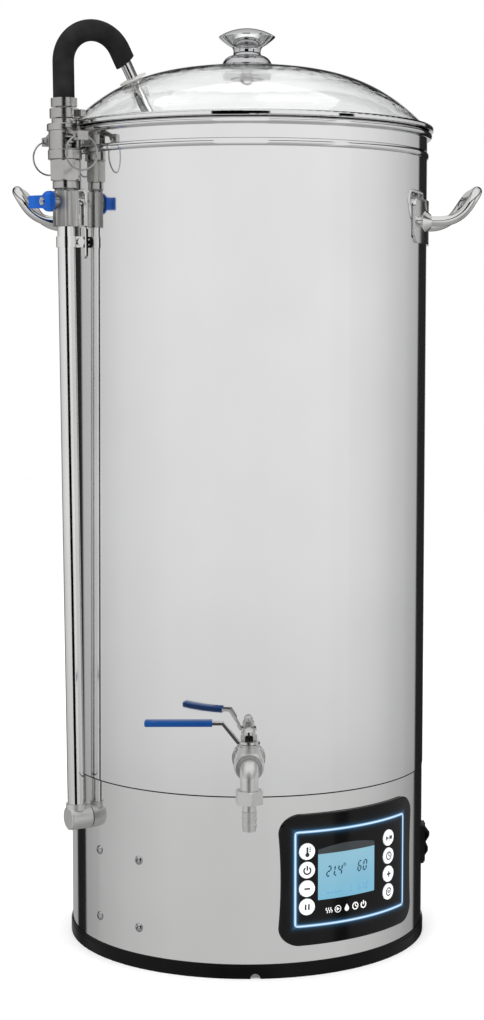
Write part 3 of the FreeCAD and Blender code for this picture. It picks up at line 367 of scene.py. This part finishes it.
def panel_gloss():
    """Black gloss plastic with a painted blue glow beside the lit frame."""
    make = Maker("panel_gloss")
    smear = make.noise(make.coordinates, 24.0, 4.0)
    make.set(Base_Color=make.mottle(smear, srgb(10, 10, 10), srgb(17, 16, 16)))
    make.set(Roughness=make.spread(smear, 0.10, 0.18), Specular_IOR_Level=0.16)
    # Painted glow: emission on the panel fades away from the lit frame, standing in for the
    # frame's light falling on the gloss.
    glow_falloff = make.maths("POWER", 0.5, make.maths("DIVIDE", frame_distance(make), 0.9 * MM))
    painted_glow = make.maths("MULTIPLY", glow_falloff, 0.7)
    make.set(Emission_Color=srgb(92, 158, 206), Emission_Strength=painted_glow)
    return make.material


def frame_distance(make):
    """How far a point on the panel is from the lit frame's centre line."""
    half_line = 1.3 * MM
    half_width = (FRAME_END - FRAME_START) / 2 * PANEL_RADIUS
    middle = (FRAME_START + FRAME_END) / 2
    low = FRAME_LOW.z + half_line
    high = FRAME_HIGH.z - half_line
    around = make.maths("SUBTRACT", make.azimuth(make.coordinates), middle)
    along = make.maths("MULTIPLY", around, PANEL_RADIUS)
    beside = make.maths("SUBTRACT", make.maths("ABSOLUTE", along), half_width)
    rise = make.maths("SUBTRACT", make.height(make.coordinates), (low + high) / 2)
    above = make.maths("SUBTRACT", make.maths("ABSOLUTE", rise), (high - low) / 2)
    return make.maths("ABSOLUTE", make.maths("MAXIMUM", beside, above))


def lit_frame():
    """The light guide: nearly white along its centre line, bluer and dimmer at its edges."""
    make = Maker("lit_frame")
    drift = make.noise(make.coordinates, 30.0, 2.0)
    core = make.spread(frame_distance(make), 1.0, 0.0, 0.2 * MM, 1.2 * MM)
    centre = make.mottle(drift, srgb(222, 240, 248), srgb(240, 249, 252))
    make.set(Base_Color=srgb(60, 90, 130), Roughness=0.3, Specular_IOR_Level=0.2)
    make.set(Emission_Color=make.blend(core, srgb(104, 178, 222), centre))
    make.set(Emission_Strength=make.spread(core, 0.35, 0.95, 0.0, 1.0))
    return make.material


def display_face():
    """A backlit display: an even blue below, and an unlit grey arch above it."""
    make = Maker("display_face")
    height = make.height(make.coordinates)
    lit = make.spread(height, 1.0, 0.0, DISPLAY_LIT_TOP - 0.25 * MM, DISPLAY_LIT_TOP + 0.25 * MM)
    rise = make.spread(height, 0.0, 1.0, DISPLAY_BOTTOM, DISPLAY_LIT_TOP)
    cloud = make.noise(make.coordinates, 35.0, 2.0)
    blue = make.blend(rise, srgb(122, 188, 218), srgb(150, 198, 216))
    blue = make.blend(make.spread(cloud, 0.0, 0.35), blue, srgb(160, 208, 226))
    make.set(Base_Color=make.blend(lit, srgb(52, 54, 56), srgb(46, 66, 76)))
    make.set(Roughness=make.spread(cloud, 0.12, 0.2), Specular_IOR_Level=0.2)
    make.set(Emission_Color=make.blend(lit, srgb(20, 26, 30), blue), Emission_Strength=0.8)
    return make.material


def display_segment():
    make = Maker("display_segment")
    cloud = make.noise(make.coordinates, 300.0, 2.0)
    make.set(Base_Color=make.mottle(cloud, srgb(14, 44, 66), srgb(24, 60, 84)))
    make.set(Roughness=0.4, Emission_Color=srgb(30, 80, 110), Emission_Strength=0.1)
    return make.material


def display_faint():
    """A segment that shows less, as on the display's lower row."""
    make = Maker("display_faint")
    cloud = make.noise(make.coordinates, 300.0, 2.0)
    make.set(Base_Color=make.mottle(cloud, srgb(70, 124, 158), srgb(84, 138, 170)))
    make.set(Roughness=0.4, Emission_Color=srgb(76, 134, 168), Emission_Strength=0.5)
    return make.material


def button_cap():
    """A backlit white cap."""
    make = Maker("button_cap")
    wear = make.noise(make.coordinates, 90.0, 4.0)
    make.set(Base_Color=make.mottle(wear, srgb(226, 230, 232), srgb(240, 243, 244)))
    make.set(Roughness=make.spread(wear, 0.3, 0.4))
    make.set(Emission_Color=srgb(236, 243, 248), Emission_Strength=0.16)
    return make.material


def button_ink():
    return moulded("button_ink", (0.012, 0.012, 0.013, 1), (0.03, 0.03, 0.032, 1), (0.4, 0.5))


def white_ink():
    make = Maker("white_ink")
    wear = make.noise(make.coordinates, 200.0, 3.0)
    make.set(Base_Color=make.mottle(wear, srgb(232, 232, 230), srgb(246, 246, 246)))
    make.set(Roughness=0.5, Emission_Color=srgb(240, 240, 240), Emission_Strength=0.1)
    return make.material


def gloss_black():
    return moulded(
        "gloss_black", srgb(10, 10, 11), srgb(18, 18, 19), (0.12, 0.2), coat=0.1, shine=0.2,
    )


# ---- pieces ------------------------------------------------------------------------------
def dress_nodes(materials):
    """Gives every CAD node its finish."""
    finish = {
        "polished_wall": ["kettle", "lid_rim"],
        "shell_sheet": ["base_shell"],
        "bright_fitting": [
            "side_handles", "riser_pipe", "return_tube", "riser_clamp", "tap_ball",
            "riser_valve_ball",
        ],
        "turned_fitting": ["tap_locknut", "tap_stem_nut"],
        "satin_casting": ["tap_body", "tap_spout", "tap_hose_tail", "riser_stub"],
        "ground_casting": ["riser_valve_body"],
        "knob_chrome": ["lid_knob"],
        "cast_fitting": [
            "camlock_adapter", "camlock_coupler", "camlock_lever_front", "camlock_lever_back",
            "hose_clamps",
        ],
        "screw_metal": [
            "pump_screws", "knob_screw", "pull_ring_front", "pull_ring_back", "base_plate",
            "floor_sensors",
        ],
        "inner_sheet": ["malt_pipe", "malt_sieves", "overflow_pipe", "tap_lever"],
        "aluminium_sheet": ["heating_plate"],
        "black_ring": ["base_ring"],
        "black_moulding": ["control_housing", "switch_bezel", "mains_gland", "pump_head"],
        "black_rubber": ["seam_gasket"],
        "gloss_black": ["switch_rocker"],
        "panel_gloss": ["panel_bezel"],
        "lit_frame": ["light_frame"],
        "display_face": ["lcd"],
        "blue_dip": ["tap_lever_sleeve"],
        "blue_coating": ["riser_valve_handle"],
        "silicone": ["return_hose", "pump_hoses", "lid_grommet"],
        "foam": ["hose_insulation"],
        "clear_glass": ["lid_glass"],
        "board_green": ["control_board"],
        "motor_paint": ["pump_motor"],
        "button_cap": [name for name in NODES if name.startswith("button_")],
    }
    for material, names in finish.items():
        for name in names:
            node = NODES[name]
            for place in node.material_slots:
                place.material = materials[material]


# ---- mesh tools --------------------------------------------------------------------------
def mesh_piece(name, vertices, faces, material, body, smooth=False):
    """A new piece that rides on a body and is finished with one of the script's materials."""
    mesh = bpy.data.meshes.new(name)
    mesh.from_pydata([tuple(v) for v in vertices], [], faces)
    mesh.validate()
    mesh.materials.append(MATERIALS[material])
    for polygon in mesh.polygons:
        polygon.use_smooth = smooth
    made = bpy.data.objects.new(name, mesh)
    bpy.context.scene.collection.objects.link(made)
    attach(made, body)
    return made


def lathe(name, profile, material, body, place=Matrix.Identity(4), turns=160):
    """A closed profile of (radius, height) swept round an axis."""
    vertices = []
    faces = []
    count = len(profile)
    for step in range(turns):
        angle = 2 * math.pi * step / turns
        for radius, height in profile:
            spot = Vector((radius * math.cos(angle), radius * math.sin(angle), height))
            vertices.append(place @ spot)
    for step in range(turns):
        here = step * count
        there = (step + 1) % turns * count
        for k in range(count):
            following = (k + 1) % count
            faces.append((here + k, there + k, there + following, here + following))
    return mesh_piece(name, vertices, faces, material, body, smooth=True)


def round_section(middle_radius, middle_height, radius, sides=16):
    """A circle as a profile for lathe."""
    profile = []
    for k in range(sides):
        angle = 2 * math.pi * k / sides
        profile.append((
            middle_radius + radius * math.cos(angle),
            middle_height + radius * math.sin(angle),
        ))
    return profile


# Flat shapes are lists of polygons, in millimetres. Their corners run anticlockwise.
def bar(x0, y0, x1, y1, width):
    """A straight stroke with square ends."""
    along = Vector((x1 - x0, y1 - y0)).normalized()
    side = Vector((-along.y, along.x)) * width / 2
    start = Vector((x0, y0))
    end = Vector((x1, y1))
    return [[start - side, end - side, end + side, start + side]]


def arc_stroke(x, y, radius, width, start, end, steps=24):
    """A curved stroke between two angles in degrees."""
    quads = []
    for k in range(steps):
        corners = []
        for reach, step in (
            (radius - width / 2, k), (radius + width / 2, k),
            (radius + width / 2, k + 1), (radius - width / 2, k + 1),
        ):
            angle = math.radians(start + (end - start) * step / steps)
            corners.append(Vector((x + reach * math.cos(angle), y + reach * math.sin(angle))))
        quads.append(corners)
    return quads


def dot(x, y, radius, sides=20):
    corners = []
    for k in range(sides):
        angle = 2 * math.pi * k / sides
        corners.append(Vector((x + radius * math.cos(angle), y + radius * math.sin(angle))))
    return [corners]


def polygon(*corners):
    return [[Vector(corner) for corner in corners]]


def moved(shapes, x, y, scale=1.0):
    return [[Vector((x, y)) + corner * scale for corner in corners] for corners in shapes]


def flat_place(azimuth, distance, height):
    """Maps flat millimetres on to a plane that faces outwards at an azimuth."""
    outward = Vector((math.sin(azimuth), -math.cos(azimuth), 0))
    along = Vector((math.cos(azimuth), math.sin(azimuth), 0))

    def place(corner, rise):
        middle = outward * (distance + rise) + Vector((0, 0, height))
        return middle + along * corner.x * MM + Vector((0, 0, corner.y * MM))

    return place


def wrapped_place(azimuth, radius, height):
    """Maps flat millimetres on to a cylinder round the kettle's axis."""
    def place(corner, rise):
        angle = azimuth + corner.x * MM / radius
        reach = radius + rise
        return Vector((reach * math.sin(angle), -reach * math.cos(angle), height + corner.y * MM))

    return place


def raised_print(name, shapes, place, material, body, thickness=0.12 * MM, sunk=0.04 * MM):
    """Flat shapes laid on a surface as thin prisms."""
    vertices = []
    faces = []
    for corners in shapes:
        first = len(vertices)
        count = len(corners)
        top = first + count
        vertices += [place(corner, -sunk) for corner in corners]
        vertices += [place(corner, thickness) for corner in corners]
        faces.append(tuple(first + k for k in reversed(range(count))))
        faces.append(tuple(top + k for k in range(count)))
        for k in range(count):
            following = (k + 1) % count
            faces.append((first + k, first + following, top + following, top + k))
    return mesh_piece(name, vertices, faces, material, body)


# ---- panel print -------------------------------------------------------------------------
SEGMENTS = {
    "0": "abcdef", "1": "bc", "2": "abged", "4": "fgbc", "6": "afgedc", "7": "abc",
}


def digit(character, x, y, width, height, stroke, lean=0.16):
    """One seven-segment digit with its lower left corner at x, y."""
    gap = stroke * 0.22
    half = height / 2
    inner = stroke / 2
    ends = {
        "a": ((inner, height - inner), (width - inner, height - inner)),
        "b": ((width - inner, half), (width - inner, height - inner)),
        "c": ((width - inner, inner), (width - inner, half)),
        "d": ((inner, inner), (width - inner, inner)),
        "e": ((inner, inner), (inner, half)),
        "f": ((inner, half), (inner, height - inner)),
        "g": ((inner, half), (width - inner, half)),
    }
    shapes = []
    for segment in SEGMENTS[character]:
        start = Vector(ends[segment][0])
        end = Vector(ends[segment][1])
        along = (end - start).normalized()
        side = Vector((-along.y, along.x)) * stroke / 2
        start = start + along * gap
        end = end - along * gap
        point = along * stroke / 2
        corners = [
            start, start + point - side, end - point - side,
            end, end - point + side, start + point + side,
        ]
        shapes.append([Vector((x + c.x + c.y * lean, y + c.y)) for c in corners])
    return shapes


def number(text, x, y, width, height, stroke):
    """Digits side by side. A 1 is narrower and a point narrower still."""
    shapes = []
    for character in text:
        if character == ".":
            shapes += dot(x - 0.1 * width, y + stroke / 2, stroke * 0.6, 12)
            x += width * 0.28
        elif character == "1":
            shapes += digit(character, x - width * 0.45, y, width, height, stroke)
            x += width * 0.85
        else:
            shapes += digit(character, x, y, width, height, stroke)
            x += width * 1.36
    return shapes


def display_print():
    """The temperature and minutes that the display shows, and its faint lower row."""
    place = wrapped_place(DISPLAY_AZIMUTH, DISPLAY_RADIUS, DISPLAY_BOTTOM)
    large = number("21.4", 7.6, 20.5, 4.7, 10.2, 1.3) + number("60", 41.2, 21.0, 4.7, 10.2, 1.3)
    large += arc_stroke(27.4, 30.0, 1.1, 0.6, 0, 360)
    raised_print("display_numbers", large, place, "display_segment", "base")
    small = number("1", 33.0, 3.6, 3.0, 6.2, 0.7) + number("67.0", 42.0, 3.8, 3.0, 6.2, 0.7)
    for k in range(5):
        small += bar(9 + 3.4 * k, 5.6, 11.4 + 3.4 * k, 5.6, 1.2)
    raised_print("display_small_numbers", small, place, "display_faint", "base")


def thermometer():
    shapes = dot(0, -2.4, 1.7) + bar(0, -1.2, 0, 2.8, 1.5) + dot(0, 2.8, 0.75, 12)
    for k in range(3):
        shapes += bar(1.5, 0.2 + 1.3 * k, 2.9, 0.2 + 1.3 * k, 0.65)
    return shapes


def power_mark():
    return arc_stroke(0, -0.3, 2.7, 1.2, 125, 415) + bar(0, -0.2, 0, 3.4, 1.2)


def minus():
    return bar(-2.3, 0, 2.3, 0, 1.3)


def plus():
    half = 0.65
    tip = 2.3
    shape = [
        (-half, half), (-tip, half), (-tip, -half), (-half, -half), (-half, -tip), (half, -tip),
    ]
    mirrored = [(-x, -y) for x, y in shape]
    return polygon(*shape, *mirrored)


def pause_mark():
    return bar(-1.3, -2.2, -1.3, 2.2, 1.3) + bar(1.3, -2.2, 1.3, 2.2, 1.3)


def start_stop():
    triangle = polygon((-3.6, -1.9), (-0.5, 0), (-3.6, 1.9))
    return triangle + bar(0.1, -2.4, 0.1, 2.4, 0.5) + bar(1.0, 0, 3.8, 0, 2.8)


def clock():
    hands = bar(0, -0.2, 0, 2.0, 0.8) + bar(0.4, 0, 1.7, -0.8, 0.8)
    return arc_stroke(0, 0, 2.9, 0.95, 0, 360) + hands


def cycle_pause():
    arrow = polygon((3.5, 0.2), (2.2, 0.2), (2.85, -1.3))
    pause = bar(-0.75, -1.2, -0.75, 1.2, 0.85) + bar(0.75, -1.2, 0.75, 1.2, 0.85)
    return arc_stroke(0, 0, 2.9, 0.95, 10, 320) + arrow + pause


BUTTON_MARK_SCALE = 1.2
BUTTON_MARKS = {
    "button_temperature": thermometer,
    "button_power": power_mark,
    "button_minus": minus,
    "button_manual_pause": pause_mark,
    "button_start_stop": start_stop,
    "button_timer": clock,
    "button_plus": plus,
    "button_auto_pause": cycle_pause,
}


def button_marks():
    """A simple pictogram on each button's flat face."""
    for name, mark in BUTTON_MARKS.items():
        low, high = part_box(name)
        middle = (low + high) / 2
        press = Vector(JOINTS[name + "_press"]["axis"])
        azimuth = math.atan2(-press.x, press.y)
        face = max(Vector(v.co).dot(-press) for v in NODES[name].data.vertices)
        place = flat_place(azimuth, face, middle.z)
        shapes = moved(mark(), 0, 0, BUTTON_MARK_SCALE)
        raised_print(name + "_mark", shapes, place, "button_ink", name)


def drop():
    """A pointed drop: its tip, then the round end from its left side to its right."""
    corners = [Vector((0, 3.4))]
    for k in range(17):
        angle = math.radians(150 + 240 * k / 16)
        corners.append(Vector((2.2 * math.cos(angle), -0.9 + 2.2 * math.sin(angle))))
    return [corners]


def heat_mark():
    """Three rising waves."""
    shapes = []
    for x in (-2.2, 0, 2.2):
        shapes += arc_stroke(x, -1.2, 1.2, 0.7, -70, 70, 8)
        shapes += arc_stroke(x + 0.82, 1.05, 1.2, 0.7, 110, 250, 8)
    return shapes


def pump_mark():
    return arc_stroke(0, 0, 2.9, 0.65, 0, 360) + polygon((-1.2, -1.7), (1.9, 0), (-1.2, 1.7))


def panel_marks():
    """A row of pictograms under the display: heat, pump, water, time and start."""
    place = wrapped_place(PANEL_AZIMUTH, PANEL_RADIUS, PANEL_MARKS_HEIGHT)
    row = [heat_mark(), pump_mark(), drop(), clock(), power_mark()]
    shapes = []
    for k, mark in enumerate(row):
        shapes += moved(mark, -33.6 + 9.6 * k, 0, 1.05)
    raised_print("panel_marks", shapes, place, "white_ink", "base")


# ---- small pieces ------------------------------------------------------------------------
def riser_place(height):
    """A frame on the riser's own axis: its Z follows the leaning pipe, at a height in metres."""
    joint = JOINTS["riser_valve_turn"]
    outward = Vector(joint["axis"]).normalized()
    flat = Vector((outward.x, outward.y, 0)).normalized()
    along = Vector((-flat.y, flat.x, 0))
    upward = outward.cross(along) * -1
    if upward.z < 0:
        upward = -upward
    origin = Vector(joint["pos_m"]) - outward * 0.015
    origin = origin + upward * ((height - origin.z) / upward.z)
    turn = Matrix((along, -outward, upward)).transposed().to_4x4()
    return Matrix.Translation(origin) @ turn


def valve_threads():
    """The bare thread that shows between the valve and the coupling's collar."""
    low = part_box("riser_valve_body")[1].z - 1.9 * MM
    place = riser_place(low)
    for k in range(3):
        profile = round_section(9.7 * MM, (0.35 + 0.6 * k) * MM, 0.28 * MM, 10)
        lathe(f"valve_thread_{k}", profile, "screw_metal", "base", place, 96)


def lid_seal():
    """The thin seal between the glass and its steel rim."""
    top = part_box("lid_rim")[1].z
    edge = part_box("lid_glass")[1].x
    profile = [
        (edge - 1.2 * MM, top - 1.9 * MM),
        (edge + 0.45 * MM, top - 2.4 * MM),
        (edge + 0.45 * MM, top - 0.7 * MM),
        (edge - 0.2 * MM, top - 0.5 * MM),
        (edge - 1.0 * MM, top - 0.9 * MM),
    ]
    lathe("lid_seal", profile, "black_rubber", "lid", turns=256)


def strips(width, height, count):
    """A rectangle centred on its place, cut into upright strips so that it can follow a curve."""
    shapes = []
    top = height / 2
    for k in range(count):
        left = width * (k / count - 0.5)
        right = width * ((k + 1) / count - 0.5)
        shapes += polygon((left, -top), (right, -top), (right, top), (left, top))
    return shapes


def weld_seam():
    """The upright weld at the back of the kettle, ground almost flush."""
    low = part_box("seam_gasket")[1].z + 8 * MM
    high = JOINTS["cam_lever_front_lift"]["pos_m"][2] - 24 * MM
    place = wrapped_place(math.pi, KETTLE_RADIUS, (low + high) / 2)
    shapes = strips(3.6, (high - low) / MM, 4)
    raised_print("weld_seam", shapes, place, "inner_sheet", "base")


def rating_plate():
    """A blank aluminium plate with two rivets on the back of the base."""
    middle = math.radians(152)
    height = 0.112
    thickness = 0.4 * MM
    place = wrapped_place(middle, SHELL_RADIUS, height)
    shapes = strips(58, 34, 20)
    raised_print(
        "rating_plate", shapes, place, "aluminium_sheet", "base", thickness,
    )
    for side in (-1, 1):
        azimuth = middle + side * 25.5 * MM / SHELL_RADIUS
        spot = wrapped_place(azimuth, SHELL_RADIUS + thickness, height)
        raised_print(
            f"plate_rivet_{side + 1}", dot(0, 0, 1.8), spot, "screw_metal", "base",
            0.7 * MM,
        )


# ---- studio ------------------------------------------------------------------------------
def add_world():
    """Plain white, except that mirrors see a studio with two dark gaps at the back."""
    world = bpy.data.worlds.new("studio")
    bpy.context.scene.world = world
    world.use_nodes = True
    world.node_tree.nodes.clear()
    make = Nodes(world.node_tree)
    way = make.node("ShaderNodeTexCoord").outputs["Generated"]
    turn = make.maths("DEGREES", make.azimuth(way))
    rise = make.maths("DEGREES", make.maths("ARCSINE", make.height(way)))
    # Brightness by degrees from the front towards +X, then by degrees above level.
    round_about = make.curve(turn, [
        (-180, 0.55), (-149, 0.55), (-148, 0.02), (-132, 0.02), (-130, 0.52), (-120, 0.55),
        (-112, 0.64), (-85, 0.78), (-50, 0.87), (-14, 0.875), (0, 0.86), (14, 0.875), (50, 0.89),
        (84, 0.80), (96, 0.74), (106, 0.67), (118, 0.61), (127, 0.53), (139, 0.46), (141, 0.02),
        (166, 0.02), (167, 0.55), (180, 0.55),
    ])
    up_and_down = make.curve(rise, [
        (-90, 0.40), (-40, 0.48), (-22, 0.66), (-15, 0.72), (-13, 0.73), (-11.6, 0.82),
        (-6.2, 0.94), (0, 0.985), (5, 1.0), (12, 1.0), (15, 0.12), (24, 0.12), (30, 1.0),
        (90, 1.0),
    ])
    steep = make.spread(make.maths("ABSOLUTE", rise), 0.0, 1.0, 35, 60)
    around = make.blend(steep, round_about, (0.86, 0.86, 0.86, 1))
    light = make.maths("MULTIPLY", around, up_and_down)
    studio = make.node("ShaderNodeBackground", {"Strength": light})
    plain = make.node("ShaderNodeBackground", {"Color": (1, 1, 1, 1), "Strength": 1.0})
    studio.inputs["Color"].default_value = (1, 1, 1, 1)
    path = make.node("ShaderNodeLightPath").outputs
    through = make.maths("SUBTRACT", 1.0, path["Is Transmission Ray"])
    mirrored = make.maths("MULTIPLY", path["Is Glossy Ray"], through)
    mix = make.node("ShaderNodeMixShader", {"Fac": mirrored})
    make.feed(mix.inputs[1], plain.outputs[0])
    make.feed(mix.inputs[2], studio.outputs[0])
    output = make.node("ShaderNodeOutputWorld")
    make.feed(output.inputs["Surface"], mix.outputs[0])


def add_floor():
    """A plain pale floor, which mirrors don't see."""
    reach = 6.0
    make = Maker("pale_floor")
    make.set(Base_Color=(0.90, 0.90, 0.90, 1), Roughness=0.7)
    make.set(Emission_Color=(1, 1, 1, 1), Emission_Strength=0.12)
    mesh = bpy.data.meshes.new("floor")
    corners = [(-reach, -reach, 0), (reach, -reach, 0), (reach, reach, 0), (-reach, reach, 0)]
    mesh.from_pydata(corners, [], [(0, 1, 2, 3)])
    mesh.materials.append(make.material)
    floor = bpy.data.objects.new("floor", mesh)
    bpy.context.scene.collection.objects.link(floor)
    floor.visible_glossy = False


def add_front_cards():
    """Upright cards at the front. The kettle and the shell see them bright, the fittings black."""
    distance = 1.2
    bottom = -0.40
    top = 1.30
    make = Maker("front_card")
    light = make.curve(make.height(make.coordinates), [
        (bottom, 0.605), (-0.167, 0.625), (-0.064, 0.635), (0.008, 0.71), (0.277, 0.815),
        (0.58, 0.855), (0.825, 0.867), (top, 0.867),
    ])
    make.set(Base_Color=(0, 0, 0, 1), Roughness=1.0, Specular_IOR_Level=0.0)
    make.set(Emission_Color=(1, 1, 1, 1), Emission_Strength=light)
    plain_walls = bpy.data.collections.new("plain_walls")
    for name in ("kettle", "base_shell"):
        plain_walls.objects.link(NODES[name])
    for start, end in ((-20, 12), (52, 62)):
        corners = []
        steps = 8
        for step in range(steps + 1):
            angle = math.radians(start + (end - start) * step / steps)
            for height in (bottom, top):
                corners.append((distance * math.sin(angle), -distance * math.cos(angle), height))
        faces = [(2 * k, 2 * k + 2, 2 * k + 3, 2 * k + 1) for k in range(steps)]
        mesh = bpy.data.meshes.new("front_card")
        mesh.from_pydata(corners, [], faces)
        mesh.materials.append(make.material)
        card = bpy.data.objects.new(f"front_card_{start + 20}", mesh)
        bpy.context.scene.collection.objects.link(card)
        card.visible_camera = False
        card.visible_diffuse = False
        card.visible_shadow = False
        card.visible_transmission = False
        card.light_linking.receiver_collection = plain_walls


def add_light(name, place, target, size, power):
    light = bpy.data.lights.new(name, "AREA")
    light.shape = "RECTANGLE"
    light.size = size[0]
    light.size_y = size[1]
    light.energy = power
    lamp = bpy.data.objects.new(name, light)
    lamp.location = place
    lamp.rotation_euler = (Vector(target) - Vector(place)).to_track_quat("-Z", "Y").to_euler()
    lamp.visible_glossy = False
    bpy.context.scene.collection.objects.link(lamp)


def add_lights():
    add_light("key", (-1.2, -2.0, 2.6), (0, 0, 0.4), (1.6, 1.6), 30)
    add_light("fill", (1.8, -1.2, 1.6), (0, 0, 0.4), (1.4, 1.4), 14)
    add_light("top", (0, 0.3, 3.0), (0, 0, 0), (2.0, 2.0), 24)


# ---- the whole scene ---------------------------------------------------------------------
add_camera()
MATERIALS = {
    make.__name__: make()
    for make in (
        polished_wall, shell_sheet, bright_fitting, knob_chrome, turned_fitting, satin_casting,
        cast_fitting, ground_casting, screw_metal, inner_sheet, aluminium_sheet, black_ring,
        black_moulding, black_rubber, blue_dip, blue_coating, silicone, board_green, motor_paint,
        foam, clear_glass, panel_gloss, lit_frame, display_face, display_segment, display_faint,
        button_cap, button_ink, white_ink, gloss_black,
    )
}
dress_nodes(MATERIALS)
display_print()
button_marks()
panel_marks()
valve_threads()
lid_seal()
weld_seam()
rating_plate()
add_world()
add_floor()
add_front_cards()
add_lights()
bpy.context.scene.view_settings.view_transform = "Standard"
